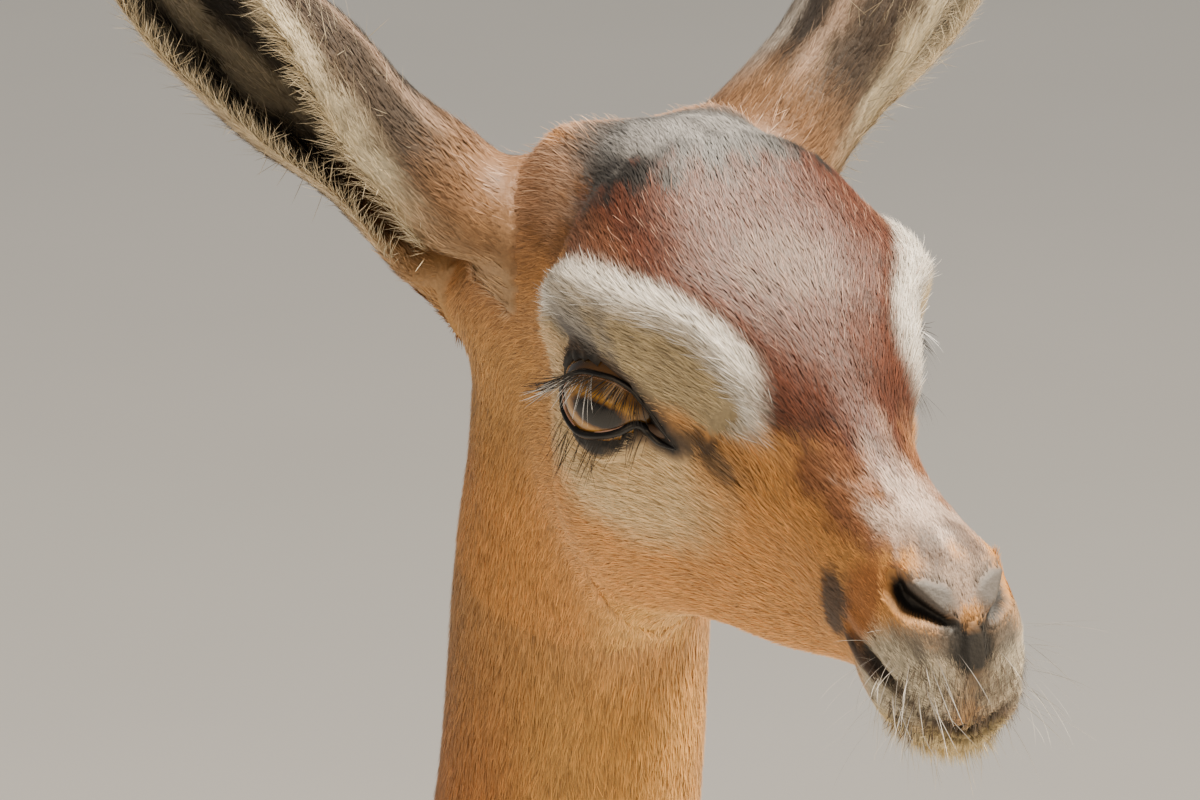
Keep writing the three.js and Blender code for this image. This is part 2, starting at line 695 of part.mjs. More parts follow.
// Where the trunk is parted: head from neck behind the jaw, neck from torso above the shoulder
const neckTop = { at: [404, 1237], tilt: 68 };
const neckFoot = { at: [262, 893], tilt: 62 };
const beyond = (cut) => blockBeyond(...cut.at, cut.tilt, gap / 2);
const behind = (cut) => blockBeyond(...cut.at, cut.tilt + 180, gap / 2);

const sides = [['left', 1], ['right', -1]];
const legs = [
  { name: 'foreleg', stations: foreStations, cut: kneeCut, foot: 234.5, fetlock: 193 },
  { name: 'hindleg', stations: hindStations, cut: hockCut, foot: -290.5, fetlock: -337 },
];

let head = solid(trunkMesh(7.2, 40)).intersect(beyond(neckTop));
head = head.subtract(solid(mouthGroove()));
for (const [word, side] of sides) {
  head = head.add(solid(eyeball(side, eyeRadius + gap + lidThickness)));
  head = head.subtract(solid(lidOpening(side)));
  head = head.subtract(solid(eyeball(side, eyeRadius + gap)));
  head = head.subtract(solid(nostrilPit(side)));
  const ear = earMesh(side, 14, 9);
  head = head.subtract(solid(grown(ear, gap)));
  addPiece(`eye_${word}`, eyeball(side, eyeRadius), 'eye');
  addPiece(`ear_${word}`, ear, 'earSkin');
}
addPiece('head', largestOf(head), 'coat');

const bodyTrunk = trunkMesh(30, 30);
const neck = solid(bodyTrunk).intersect(behind(neckTop)).intersect(beyond(neckFoot));
addPiece('neck', largestOf(neck), 'coat');

let torso = solid(bodyTrunk).intersect(behind(neckFoot));
for (const { name, stations, cut, foot, fetlock } of legs) {
  for (const [word, side] of sides) {
    const leg = legMesh(stations, side, 36, 16);
    let whole = solid(leg);
    for (const half of [-1, 1]) whole = whole.add(solid(dewclaw(fetlock, side, half)));
    torso = torso.subtract(solid(grown(leg, gap)));
    const upper = whole.intersect(blockBeyond(...cut, 90, gap / 2));
    const lower = whole.intersect(blockBeyond(...cut, -90, gap / 2));
    addPiece(`${name}_${word}_upper`, largestOf(upper), 'coat');
    addPiece(`${name}_${word}_lower`, largestOf(lower), 'coat');
    for (const [half, place] of [[1, side > 0 ? 'outer' : 'inner'], [-1, side > 0 ? 'inner' : 'outer']]) {
      addPiece(`hoof_${name === 'foreleg' ? 'fore' : 'hind'}_${word}_${place}`,
        clawMesh(foot, side, half), 'hoof');
    }
  }
}
let tail = solid(tailMesh());
torso = torso.subtract(solid(grown(tailMesh(), gap)));
for (let level = 0; level < tuftRings; level += 1) {
  for (let place = 0; place < locksInRing; place += 1) tail = tail.add(solid(tuftLock(level, place)));
}
addPiece('torso', largestOf(torso), 'saddle');
addPiece('tail', largestOf(tail), 'tailTuft');

export default model;
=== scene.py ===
import math

import bpy
import numpy as np
from mathutils import Matrix, Vector


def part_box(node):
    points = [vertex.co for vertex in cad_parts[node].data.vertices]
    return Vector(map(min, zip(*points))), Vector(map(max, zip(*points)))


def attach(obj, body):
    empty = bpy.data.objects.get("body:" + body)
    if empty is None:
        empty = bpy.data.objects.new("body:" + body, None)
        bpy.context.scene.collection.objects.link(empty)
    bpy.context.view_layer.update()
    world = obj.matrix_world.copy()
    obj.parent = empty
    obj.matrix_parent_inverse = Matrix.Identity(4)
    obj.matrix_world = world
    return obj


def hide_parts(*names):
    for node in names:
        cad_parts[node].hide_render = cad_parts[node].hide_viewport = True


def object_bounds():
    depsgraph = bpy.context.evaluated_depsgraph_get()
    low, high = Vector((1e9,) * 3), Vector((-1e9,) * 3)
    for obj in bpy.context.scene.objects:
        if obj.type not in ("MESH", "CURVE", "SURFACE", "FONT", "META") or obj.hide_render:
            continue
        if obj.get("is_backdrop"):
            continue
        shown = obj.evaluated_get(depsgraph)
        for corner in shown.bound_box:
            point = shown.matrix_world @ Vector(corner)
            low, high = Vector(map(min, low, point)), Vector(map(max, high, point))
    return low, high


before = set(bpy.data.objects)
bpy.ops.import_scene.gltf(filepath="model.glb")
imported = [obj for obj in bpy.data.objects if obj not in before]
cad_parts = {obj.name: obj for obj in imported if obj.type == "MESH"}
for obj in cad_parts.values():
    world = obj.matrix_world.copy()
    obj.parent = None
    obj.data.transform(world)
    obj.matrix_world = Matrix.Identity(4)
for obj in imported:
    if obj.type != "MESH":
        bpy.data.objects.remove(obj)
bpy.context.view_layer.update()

chance = np.random.default_rng(7)
deg = math.pi / 180

body = {
    "eyeHeight": 1360,
    "eyeForward": 498,
    "headPitch": 15,  # the muzzle points this far below level
    "eyeRadius": 17.5,
    "eyeCentre": (-11, 34, -7),  # ahead, out and above, in the head's own axes
    "eyeTurn": 30,  # each eye looks this far ahead of straight sideways
    "footOut": 69,
    "hairline": 43.5,  # top of the hooves
}
sides = (("left", 1), ("right", -1))


def linear(hexColour):
    # sRGB hex to linear: below 0.04045 a straight line, above it a power of 2.4
    value = np.array([int(hexColour[i:i + 2], 16) / 255 for i in (1, 3, 5)])
    return np.where(value <= 0.04045, value / 12.92, ((value + 0.055) / 1.055) ** 2.4)


def headPoint(ahead, above):
    # forward and height of a place in the head's own axes: those axes turned down by the pitch
    c, s = math.cos(body["headPitch"] * deg), math.sin(body["headPitch"] * deg)
    return body["eyeForward"] + ahead * c + above * s, body["eyeHeight"] - ahead * s + above * c


eyeLow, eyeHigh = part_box("eye_left")
eyeForwardNow = headPoint(body["eyeCentre"][0], body["eyeCentre"][2])[0]
middleForward = (eyeLow.y + eyeHigh.y) * 500 + eyeForwardNow  # forward place of the frame's origin


def bodyPlace(forward, out, height):
    # frame place in metres of a forward, out and height in millimetres
    forward, out, height = np.broadcast_arrays(forward, out, height)
    return np.stack([out, middleForward - forward, height], -1) / 1000


def headPlace(ahead, out, above):
    forward, height = headPoint(np.asarray(ahead, float), np.asarray(above, float))
    return bodyPlace(forward, out, height)


def headAxes(points):
    # ahead, out and above of frame places, the reverse of headPlace
    c, s = math.cos(body["headPitch"] * deg), math.sin(body["headPitch"] * deg)
    f = middleForward - points[:, 1] * 1000 - body["eyeForward"]
    z = points[:, 2] * 1000 - body["eyeHeight"]
    return np.stack([f * c - z * s, points[:, 0] * 1000, f * s + z * c], -1)


headAxis = {
    "ahead": headPlace(1000, 0, 0) - headPlace(0, 0, 0),
    "above": headPlace(0, 0, 1000) - headPlace(0, 0, 0),
}


def unit(vectors):
    return vectors / np.maximum(np.linalg.norm(vectors, axis=-1, keepdims=True), 1e-12)


def ease(value, low, high):
    # 0 below low, 1 above high and a smooth S between
    t = np.clip((value - low) / (high - low), 0, 1)
    return t * t * (3 - 2 * t)


def curveThrough(knots, rows, at):
    # smooth curve through rows of numbers at the knots: cubic pieces whose slope at a knot is the
    # harmonic mean of its neighbours' slopes, and zero at a turn, so that nothing overshoots
    knots, rows, at = (np.asarray(a, float) for a in (knots, rows, at))
    step = np.diff(knots)[:, None]
    rise = np.diff(rows, axis=0) / step
    w0, w1 = 2 * step[1:] + step[:-1], step[1:] + 2 * step[:-1]
    same = rise[:-1] * rise[1:] > 0
    safe = np.where(same, rise[:-1], 1), np.where(same, rise[1:], 1)
    inner = np.where(same, (w0 + w1) / (w0 / safe[0] + w1 / safe[1]), 0)
    slope = np.concatenate([rise[:1], inner, rise[-1:]])
    i = np.clip(np.searchsorted(knots, at, side="right") - 1, 0, len(knots) - 2)
    h = step[i]
    s = ((at - knots[i])[:, None]) / h
    return ((2 * s**3 - 3 * s**2 + 1) * rows[i] + (s**3 - 2 * s**2 + s) * h * slope[i]
            + (3 * s**2 - 2 * s**3) * rows[i + 1] + (s**3 - s**2) * h * slope[i + 1])


def ripple(points, size, seed):
    # smooth unevenness from -1 to 1: a mean of eight sine waves about size metres long
    source = np.random.default_rng(seed)
    ways = unit(source.normal(size=(8, 3))) * (2 * math.pi / size) * source.uniform(0.6, 1.5, (8, 1))
    return np.sin(points @ ways.T + source.uniform(0, 6.28, 8)).mean(1) * 1.7


# A station is a flat section across the body, named by where it meets the side view's outline and
# by its width: top forward, top height, bottom forward, bottom height, widest, half width, top
# power, bottom power and, for legs, how far out its middle lies.
faceStations = [
    (122, -30, 122, -38, 0.5, 1.5, 2, 2),
    (121, -22, 120.5, -44, 0.5, 11, 2.2, 2.2),
    (117, -12, 116, -48, 0.5, 16.5, 2.3, 2.2),
    (109, -3, 107, -49, 0.5, 20, 2.4, 2.2),
    (98, 4, 96, -47, 0.47, 21, 2.4, 2.2),
    (84, 6, 84, -45, 0.45, 20.5, 2.3, 2),
    (68, 8.5, 68, -51, 0.5, 20.5, 2.2, 2),
    (52, 15, 52, -58, 0.55, 22.5, 2.1, 2),
    (36, 23, 35, -65, 0.62, 27.5, 2.3, 2),
    (18, 31, 16, -71, 0.68, 35, 2.8, 2),
    (0, 37, -3, -78, 0.7, 43.5, 3.2, 2),
    (-22, 43, -20, -88, 0.7, 45.5, 3, 2),
    (-42, 47, -32, -97, 0.7, 43, 2.6, 2),
]
throat = (-31, -105)
throatReach = 4
fanStations = [  # angle back from upright, reach, half width, widest, top power, bottom power
    (8, 151, 40, 0.7, 2.4, 2),
    (22, 143, 38, 0.68, 2.2, 2),
    (36, 128, 36, 0.62, 2.1, 2),
    (52, 108, 35.5, 0.55, 2, 2),
    (70, 92, 35, 0.5, 2, 2),
    (88, 86, 35, 0.5, 2, 2),
]
neckStations = [  # forward, height, lean, half depth, half width
    (387, 1205, 20, 43, 35.5),
    (347, 1122, 21, 47, 38),
    (316, 1035, 21, 53, 42),
    (286, 950, 24, 60, 47),
]
torsoStations = [
    (200, 938, 333, 855, 0.5, 60, 2, 2),
    (184, 927, 338, 778, 0.45, 72, 2, 1.9),
    (175, 923, 320, 702, 0.45, 81, 2, 1.8),
    (168, 921, 286, 648, 0.46, 86, 2, 1.8),
    (160, 920, 242, 613, 0.47, 88, 2, 1.8),
    (150, 919, 195, 602, 0.48, 89, 2, 1.8),
    (120, 916, 140, 598, 0.48, 92, 2, 1.9),
    (80, 911, 85, 597, 0.48, 96, 2, 1.9),
    (20, 907, 20, 602, 0.47, 102, 2, 2),
    (-50, 908, -50, 614, 0.46, 105, 2, 2.1),
    (-120, 913, -120, 634, 0.47, 101, 2, 2.1),
    (-190, 918, -190, 663, 0.5, 94, 2.1, 2.1),
    (-250, 914, -245, 700, 0.55, 87, 2.2, 2),
    (-300, 898, -290, 741, 0.55, 77, 2.2, 2),
    (-340, 872, -325, 780, 0.55, 58, 2.1, 2),
    (-362, 848, -350, 806, 0.5, 32, 2, 2),
    (-368, 834, -364, 819, 0.5, 8, 2, 2),
]
foreStations = [
    (188, 902, 132, 888, 0.5, 10, 2, 2, 50),
    (256, 850, 134, 826, 0.5, 24, 2, 2, 57),
    (312, 764, 146, 738, 0.5, 32, 2, 2, 63),
    (292, 684, 154, 658, 0.5, 32, 2, 2, 67),
    (256, 622, 166, 602, 0.5, 28, 2, 2, 70),
    (241, 560, 184, 548, 0.5, 22.5, 2, 2, 71),
    (236, 480, 194, 474, 0.5, 18, 2, 2, 70),
    (233, 400, 198, 397, 0.5, 15.5, 2, 2, 69),
    (234, 352, 197, 350, 0.5, 16.5, 2.2, 2.2, 69),
    (229, 312, 200, 312, 0.5, 12.5, 2, 2, 69),
    (225, 230, 201, 230, 0.5, 10.5, 2, 2, 69),
    (224, 150, 198, 150, 0.5, 11, 2, 2, 69),
    (228, 117, 192, 111, 0.5, 14.5, 2, 2, 69),
    (240, 84, 208, 68, 0.5, 13.5, 2, 2, 69),
    (252, 49, 217, 38, 0.5, 17, 2.2, 2.2, 69),
]
hindStations = [
    (-205, 894, -298, 883, 0.5, 14, 2, 2, 46),
    (-168, 846, -342, 838, 0.5, 34, 2, 2, 53),
    (-142, 772, -364, 774, 0.5, 42, 2, 2, 58),
    (-122, 696, -350, 704, 0.5, 41, 2, 2, 62),
    (-116, 638, -314, 644, 0.5, 37, 2, 2, 66),
    (-140, 576, -292, 586, 0.5, 33, 2, 2, 69),
    (-200, 520, -300, 535, 0.5, 25, 2, 2, 70),
    (-255, 460, -322, 475, 0.5, 18, 2, 2, 70),
    (-290, 420, -352, 432, 0.5, 15.5, 2, 2, 70),
    (-300, 385, -352, 385, 0.5, 16.5, 2, 2, 69),
    (-306, 345, -343, 342, 0.5, 14, 2, 2, 69),
    (-310, 290, -338, 290, 0.5, 12, 2, 2, 69),
    (-309, 200, -335, 200, 0.5, 10.8, 2, 2, 69),
    (-306, 150, -333, 150, 0.5, 11.5, 2, 2, 69),
    (-300, 118, -338, 112, 0.5, 14.5, 2, 2, 69),
    (-287, 84, -320, 68, 0.5, 13.5, 2, 2, 69),
    (-273, 49, -308, 38, 0.5, 17, 2.2, 2.2, 69),
]
tailStations = [  # forward, height, radius
    (-338, 878, 13), (-364, 872, 12), (-383, 848, 10.5), (-391, 805, 9), (-395, 750, 8),
    (-397, 690, 7), (-397, 650, 6), (-396, 620, 4), (-396, 596, 1.5),
]
skinCut = {
    "headAround": 240, "bodyAround": 120, "legAround": 32,
    "noseStep": 0.9, "faceStep": 1.35, "fanStep": 1.5, "neckStep": 5.5, "torsoStep": 8, "legStep": 7,
}


def trunkRows():
    # every station of the trunk in forward and height, nose first
    rows = []
    for topF, topZ, lowF, lowZ, *rest in faceStations:
        rows.append([*headPoint(topF, topZ), *headPoint(lowF, lowZ), *rest, 0])
    for angle, reach, half, widest, topPower, lowPower in fanStations:
        back, up = -math.sin(angle * deg), math.cos(angle * deg)
        top = headPoint(throat[0] + back * reach, throat[1] + up * reach)
        low = headPoint(throat[0] + back * throatReach, throat[1] + up * throatReach)
        rows.append([*top, *low, widest, half, topPower, lowPower, 0])
    for forward, height, lean, depth, half in neckStations:
        back, up = depth * math.cos(lean * deg), depth * math.sin(lean * deg)
        rows.append([forward - back, height + up, forward + back, height - up, 0.5, half, 2, 2, 0])
    return np.array(rows + [[*row, 0] for row in torsoStations], float)


def sectionsOf(stations, steps, around):
    # rings of a loft: each station's section is a superellipse, its rise above the widest line and
    # its reach to the side being the cosine and sine of the turn, each raised to two over the power
    step = sum(np.hypot(*np.diff(stations[:, k:k + 2], axis=0).T) / 2 for k in (0, 2))
    knots = np.concatenate([[0], np.cumsum(step)])
    counts = [max(1, round((knots[i + 1] - knots[i]) / steps[i])) for i in range(len(steps))]
    at = np.concatenate([np.linspace(knots[i], knots[i + 1], n, endpoint=False)
                         for i, n in enumerate(counts)] + [knots[-1:]])
    row = curveThrough(knots, stations, at)[:, :, None]
    turn = np.arange(around) * 2 * math.pi / around
    c, s = np.cos(turn), np.sin(turn)
    power = 2 / np.where(c >= 0, row[:, 6], row[:, 7])
    rise = np.sign(c) * np.abs(c) ** power
    side = np.sign(s) * np.abs(s) ** power
    along = row[:, 4] + rise * np.where(c >= 0, 1 - row[:, 4], row[:, 4])
    forward = row[:, 2] + along * (row[:, 0] - row[:, 2])
    height = row[:, 3] + along * (row[:, 1] - row[:, 3])
    return np.stack([forward, row[:, 8] + row[:, 5] * side, height], -1), sum(counts[:18])


# Swellings and hollows of the head in its own axes: centre, radii and push, each ahead, out, above
headForms = [
    ((-9, 50, -6), (22, 14, 15), (0, -3, 0)),  # eye socket
    ((36, 32, 6), (13, 13, 12), (0, -5, 0)),  # hollow before the eye
    ((39, 31, -2), (12, 12, 9), (0, -6, 0)),  # hollow under the brow's front end
    ((-5, 44, -32), (30, 12, 10), (0, 2, 0)),  # cheek bone
    ((-25, 36, -58), (24, 14, 20), (0, 3, 0)),  # jaw muscle
    ((58, 26, -34), (16, 12, 16), (0, -2.5, 0)),  # hollow behind the lips
    ((106, 16, -1), (8, 7, 6), (0, 2, 1.5)),  # nostril wing
    ((112, 12, -16), (9, 10, 7), (0, 1.5, 0)),  # upper lip
    ((108, 18, -38), (14, 10, 9), (0, 2, 0)),  # lip pad
    ((-92, 40, -14), (20, 18, 24), (-2, 15, 0)),  # gland under the ear
    ((-90, 34, 28), (24, 22, 26), (0, 5, 18)),  # ear muscles on the poll
    ((-70, 0, 50), (30, 26, 22), (0, 0, 4)),  # crown
    ((-14, 43, 14), (22, 12, 12), (0, 6, 0)),  # puffed fur over the eye
]
brow = {
    "line": [(-46, 46, -4), (-38, 49, 8), (-22, 49, 21), (-4, 46, 27), (10, 38, 28), (24, 29, 23),
             (33, 24, 14), (37, 23, 5), (34, 26, -4)],
    "radius": 8.5,
    "push": (0, 7, 3),
}
browCurve = curveThrough(range(len(brow["line"])), brow["line"], np.linspace(0, len(brow["line"]) - 1, 60))


def distanceTo(points, line):
    # distance from each point to the nearest of a line's points, and which one that is
    apart = np.linalg.norm(points[:, None, :] - line[None], axis=-1)
    return apart.min(1), apart.argmin(1)


def shapeHead(rings):
    # each point near the head moves by the sum of the forms' pushes, each fading as a bell curve of
    # its distance in radii, and by the brow's push, a bell curve of the distance to its crest
    flat = rings.reshape(-1, 3)
    c, s = math.cos(body["headPitch"] * deg), math.sin(body["headPitch"] * deg)
    f, z = flat[:, 0] - body["eyeForward"], flat[:, 2] - body["eyeHeight"]
    place = np.stack([f * c - z * s, np.abs(flat[:, 1]), f * s + z * c], -1)
    near = (place[:, 0] > -150) & (place[:, 2] > -120)
    spot = place[near]
    apart = distanceTo(spot, browCurve)[0]
    move = np.exp(-((apart / brow["radius"]) ** 2))[:, None] * np.array(brow["push"], float)
    for at, radii, push in headForms:
        far = (((spot - at) / radii) ** 2).sum(1)
        move += np.exp(-far)[:, None] * np.array(push, float)
    move[:, 1] *= np.minimum(1, spot[:, 1] / 6)
    spot = spot + move
    forward, height = headPoint(spot[:, 0], spot[:, 2])
    flat[near] = np.stack([forward, np.sign(flat[near, 1]) * spot[:, 1], height], -1)
    return flat.reshape(rings.shape)


def gridFaces(rows, around, first=0):
    # triangles of a tube of points, two to each cell, and the same in steps round and along
    i, j = np.meshgrid(np.arange(rows - 1), np.arange(around), indexing="ij")
    i, j = i.ravel(), j.ravel()
    a, b = first + i * around + j, first + i * around + (j + 1) % around
    faces = np.concatenate([np.stack([a, b, b + around], -1), np.stack([a, b + around, a + around], -1)])
    turn = np.concatenate([np.stack([j, j + 1, j + 1], -1), np.stack([j, j + 1, j], -1)]) / around
    along = np.concatenate([np.stack([i, i, i + 1], -1), np.stack([i, i + 1, i + 1], -1)])
    return faces, turn, along


def closedTube(rings, island):
    # mesh of a stack of rings with a fan over each end, laid out flat in its island of the map
    rows, around = rings.shape[:2]
    points = rings.reshape(-1, 3)
    faces, turn, along = gridFaces(rows, around)
    ends = [points[:around].mean(0), points[-around:].mean(0)]
    j = np.arange(around)
    n, last = len(points), (rows - 1) * around
    caps = [np.stack([np.full(around, n), (j + 1) % around, j], -1),
            np.stack([np.full(around, n + 1), last + j, last + (j + 1) % around], -1)]
    capTurn = [np.stack([j + 0.5, j + 1, j], -1) / around, np.stack([j + 0.5, j, j + 1], -1) / around]
    capAlong = [np.tile([0, 0.2, 0.2], (around, 1)), np.tile([rows - 1, rows - 1.2, rows - 1.2], (around, 1))]
    faces = np.concatenate([faces, *caps])
    turn, along = np.concatenate([turn, *capTurn]), np.concatenate([along, *capAlong]) / (rows - 1)
    return np.concatenate([points, ends]), faces, onIsland(turn, along, island)


# Islands of the flat map: left, bottom, width and height
islands = {
    "head": (0.02, 0.42, 0.96, 0.56), "trunk": (0.02, 0.24, 0.96, 0.16),
    "fore_left": (0.02, 0.13, 0.22, 0.09), "fore_right": (0.26, 0.13, 0.22, 0.09),
    "hind_left": (0.50, 0.13, 0.22, 0.09), "hind_right": (0.74, 0.13, 0.22, 0.09),
    "ear_left": (0.02, 0.02, 0.40, 0.09), "ear_right": (0.44, 0.02, 0.40, 0.09),
    "tail": (0.86, 0.02, 0.12, 0.09),
}


def onIsland(turn, along, island):
    left, bottom, width, height = islands[island]
    return np.stack([left + width * turn, bottom + height * along], -1)


def trunkMesh():
    # the trunk's skin: twice as many points round the head as round the body, joined three
    # triangles to a cell where they meet
    stations = trunkRows()
    steps = ([skinCut["noseStep"]] * 4 + [skinCut["faceStep"]] * 8 + [skinCut["fanStep"]] * 6
             + [skinCut["neckStep"]] * 4 + [skinCut["torsoStep"]] * 16)
    rings, seam = sectionsOf(stations, steps, skinCut["headAround"])
    rings = shapeHead(rings)
    around, half = skinCut["headAround"], skinCut["bodyAround"]
    headRings, bodyRings = rings[:seam + 1], rings[seam + 1:, ::2]
    headPoints, bodyPoints = headRings.reshape(-1, 3), bodyRings.reshape(-1, 3)
    n = len(headPoints)
    faces, turn, along = gridFaces(seam + 1, around)
    parts = [(faces, onIsland(turn, along / seam, "head"))]
    rows = len(bodyRings)
    faces, turn, along = gridFaces(rows, half, n)
    parts.append((faces, onIsland(turn, (along + 1) / rows, "trunk")))
    j = np.arange(half)
    h0, h1, h2 = seam * around + 2 * j, seam * around + 2 * j + 1, seam * around + (2 * j + 2) % around
    b0, b1 = n + j, n + (j + 1) % half
    faces = np.concatenate([
        np.stack([h0, h1, b0], -1), np.stack([h1, b1, b0], -1), np.stack([h1, h2, b1], -1)])
    turn = np.concatenate([np.stack([j, j + 0.5, j], -1), np.stack([j + 0.5, j + 1, j], -1),
                           np.stack([j + 0.5, j + 1, j + 1], -1)]) / half
    along = np.concatenate([np.tile([0, 0, 1], (half, 1)), np.tile([0, 1, 1], (half, 1)),
                            np.tile([0, 0, 1], (half, 1))]) / rows
    parts.append((faces, onIsland(turn, along, "trunk")))
    total = n + len(bodyPoints)
    j = np.arange(around)
    parts.append((np.stack([np.full(around, total), (j + 1) % around, j], -1),
                  onIsland(np.stack([j + 0.5, j + 1, j], -1) / around, np.zeros((around, 3)), "head")))
    j = np.arange(half)
    last = total - half
    parts.append((np.stack([np.full(half, total + 1), last + j, last + (j + 1) % half], -1),
                  onIsland(np.stack([j + 0.5, j, j + 1], -1) / half, np.ones((half, 3)), "trunk")))
    ends = [headPoints[:around].mean(0), bodyPoints[-half:].mean(0)]
    points = np.concatenate([headPoints, bodyPoints, ends])
    return points, np.concatenate([p[0] for p in parts]), np.concatenate([p[1] for p in parts])


ear = {
    "root": (-86.7, 25.4, -14.4),  # in the head's axes, inside the skull
    "aim": (-0.088, 0.726, 0.682),  # forward, out, up
    "turn": 52,  # the cup's mouth turns from forward to outwards and down
    "bend": (2.7, 2.7),  # towards the mouth and across it, at the bend's own distance
    "bendAt": 150,
    "form": [  # distance from the root, radius, arc to the front rim, arc to the back rim, wall
        (0, 28, 150, 120, 26.5), (14, 26, 160, 132, 23.5), (30, 22.4, 170, 145, 14), (46, 20, 165, 152, 4.5),
        (60, 19, 160, 160, 2.8), (90, 21.6, 136, 163, 2.3), (120, 20.1, 104, 150, 2),
        (147, 14.5, 76, 131, 1.8), (163, 9, 68, 112, 1.5), (171, 3, 64, 100, 1.3),
    ],
    "rimShare": 0.5, "rows": 66, "across": 34, "coat": 0.5,
}


def earRings(side):
    # cup of one ear: at each distance along its bent aim, an arc of a circle for the outer face and
    # a smaller one, back again, for the inner face. The share runs from the back rim to the front.
    aim = unit(np.array(ear["aim"]) * (1, side, 1))
    ahead = unit(np.array([1, 0, 0]) - aim * aim[0])
    down = np.cross(aim, ahead) * side
    mouth = ahead * math.cos(ear["turn"] * deg) + down * math.sin(ear["turn"] * deg)
    over = np.cross(mouth, aim) * side
    form = np.array(ear["form"], float)
    distance = np.linspace(0, form[-1, 0], ear["rows"] + 1)
    radius, front, back, wall = curveThrough(form[:, 0], form[:, 1:], distance).T[:, :, None]
    forward, height = headPoint(ear["root"][0], ear["root"][2])
    bend = (distance / ear["bendAt"])[:, None] ** 2 * (mouth * ear["bend"][0] + over * ear["bend"][1])
    centre = (np.array([forward, ear["root"][1] * side, height]) + distance[:, None] * aim + bend)[:, None]
    share = np.linspace(-1, 1, ear["across"] + 1)
    rows = []
    for face in (1, -1):
        turn = face * share * np.where(face * share > 0, front, back) * deg
        inward = 0 if face > 0 else wall * (1 - (1 - ear["rimShare"]) * np.abs(share) ** 3)
        coat = ear["coat"] * face
        reach = (radius - inward - coat)[..., None]
        rows.append(centre + reach * (over * np.sin(turn)[..., None] - mouth * np.cos(turn)[..., None]))
    return np.concatenate(rows, 1)


def tailRings():
    # tail: a round tube along its path, each ring lying across the path's run
    rows = np.array(tailStations, float)
    run = unit(np.gradient(rows[:, :2], axis=0))
    across = np.stack([run[:, 1], -run[:, 0]], -1) * rows[:, 2:]
    sections = np.concatenate([rows[:, :2] + across, rows[:, :2] - across], 1)
    more = np.tile([0.5, 0, 2, 2, 0], (len(rows), 1))
    more[:, 1] = rows[:, 2]
    return sectionsOf(np.concatenate([sections, more], 1), [6] * (len(rows) - 1), 20)[0]


def meshFrom(name, points, faces, flat=None, tint=None):
    # mesh of triangles from whole arrays, with its map's corners and its points' colours
    mesh = bpy.data.meshes.new(name)
    mesh.vertices.add(len(points))
    mesh.vertices.foreach_set("co", np.asarray(points, np.float32).ravel())
    mesh.loops.add(faces.size)
    mesh.loops.foreach_set("vertex_index", faces.astype(np.int32).ravel())
    mesh.polygons.add(len(faces))
    mesh.polygons.foreach_set("loop_start", np.arange(0, faces.size, faces.shape[1], dtype=np.int32))
    mesh.polygons.foreach_set("use_smooth", np.ones(len(faces), bool))
    if flat is not None:
        mesh.uv_layers.new(name="OFBake", do_init=False)
        mesh.uv_layers[0].uv.foreach_set("vector", flat.astype(np.float32).ravel())
    if tint is not None:
        mesh.color_attributes.new("tint", "FLOAT_COLOR", "POINT")
        four = np.concatenate([tint, np.ones((len(tint), 1))], 1).astype(np.float32)
        mesh.color_attributes["tint"].data.foreach_set("color", four.ravel())
    mesh.update(calc_edges=True)
    made = bpy.data.objects.new(name, mesh)
    bpy.context.scene.collection.objects.link(made)
    return made


def inFrame(rings):
    return bodyPlace(rings[..., 0], rings[..., 1], rings[..., 2])


def outwards(points, faces, flat):
    # faces turned round if the mesh encloses a negative volume
    a, b, c = (points[faces[:, k]] for k in range(3))
    if (a * np.cross(b, c)).sum() < 0:
        faces, flat = faces[:, ::-1], flat[:, ::-1]
    return faces, flat


def joinedSkin():
    # trunk, legs, ears and tail fused into one closed surface by Boolean unions
    points, faces, flat = trunkMesh()
    points = inFrame(points)
    faces, flat = outwards(points, faces, flat)
    whole = meshFrom("skin", points, faces, flat)
    limbs = []
    for word, side in sides:
        for name, stations in (("fore", foreStations), ("hind", hindStations)):
            rows = np.array(stations, float) * ([1] * 8 + [side])
            rings = sectionsOf(rows, [skinCut["legStep"]] * (len(rows) - 1), skinCut["legAround"])[0]
            limbs.append((f"{name}_{word}", rings))
        limbs.append((f"ear_{word}", earRings(side)))
    limbs.append(("tail", tailRings()))
    for name, rings in limbs:
        points, faces, flat = closedTube(rings, name)
        points = inFrame(points)
        faces, flat = outwards(points, faces, flat)
        limb = meshFrom(name, points, faces, flat)
        fuse = whole.modifiers.new("fuse", "BOOLEAN")
        fuse.operation, fuse.object, fuse.solver = "UNION", limb, "MANIFOLD"
        graph = bpy.context.evaluated_depsgraph_get()
        fused = bpy.data.meshes.new_from_object(whole.evaluated_get(graph))
        whole.modifiers.clear()
        whole.data = fused
        bpy.data.objects.remove(limb)
    return whole


def arraysOf(mesh):
    # points, triangles and map corners of a mesh
    mesh.calc_loop_triangles()
    points = np.empty(len(mesh.vertices) * 3, np.float32)
    mesh.vertices.foreach_get("co", points)
    loops = np.empty(len(mesh.loop_triangles) * 3, np.int32)
    mesh.loop_triangles.foreach_get("loops", loops)
    corner = np.empty(len(mesh.loops), np.int32)
    mesh.loops.foreach_get("vertex_index", corner)
    flat = np.empty(len(mesh.loops) * 2, np.float32)
    mesh.uv_layers[0].uv.foreach_get("vector", flat)
    return (points.reshape(-1, 3).astype(float), corner[loops].reshape(-1, 3),
            flat.reshape(-1, 2)[loops].reshape(-1, 3, 2).astype(float))


def islandOf(flat):
    # number of the island that each place on the map lies in
    found = np.zeros(len(flat), int)
    for number, (left, bottom, width, height) in enumerate(islands.values()):
        inside = ((flat[:, 0] > left - 0.01) & (flat[:, 0] < left + width + 0.01)
                  & (flat[:, 1] > bottom - 0.01) & (flat[:, 1] < bottom + height + 0.009))
        found[inside] = number
    return found


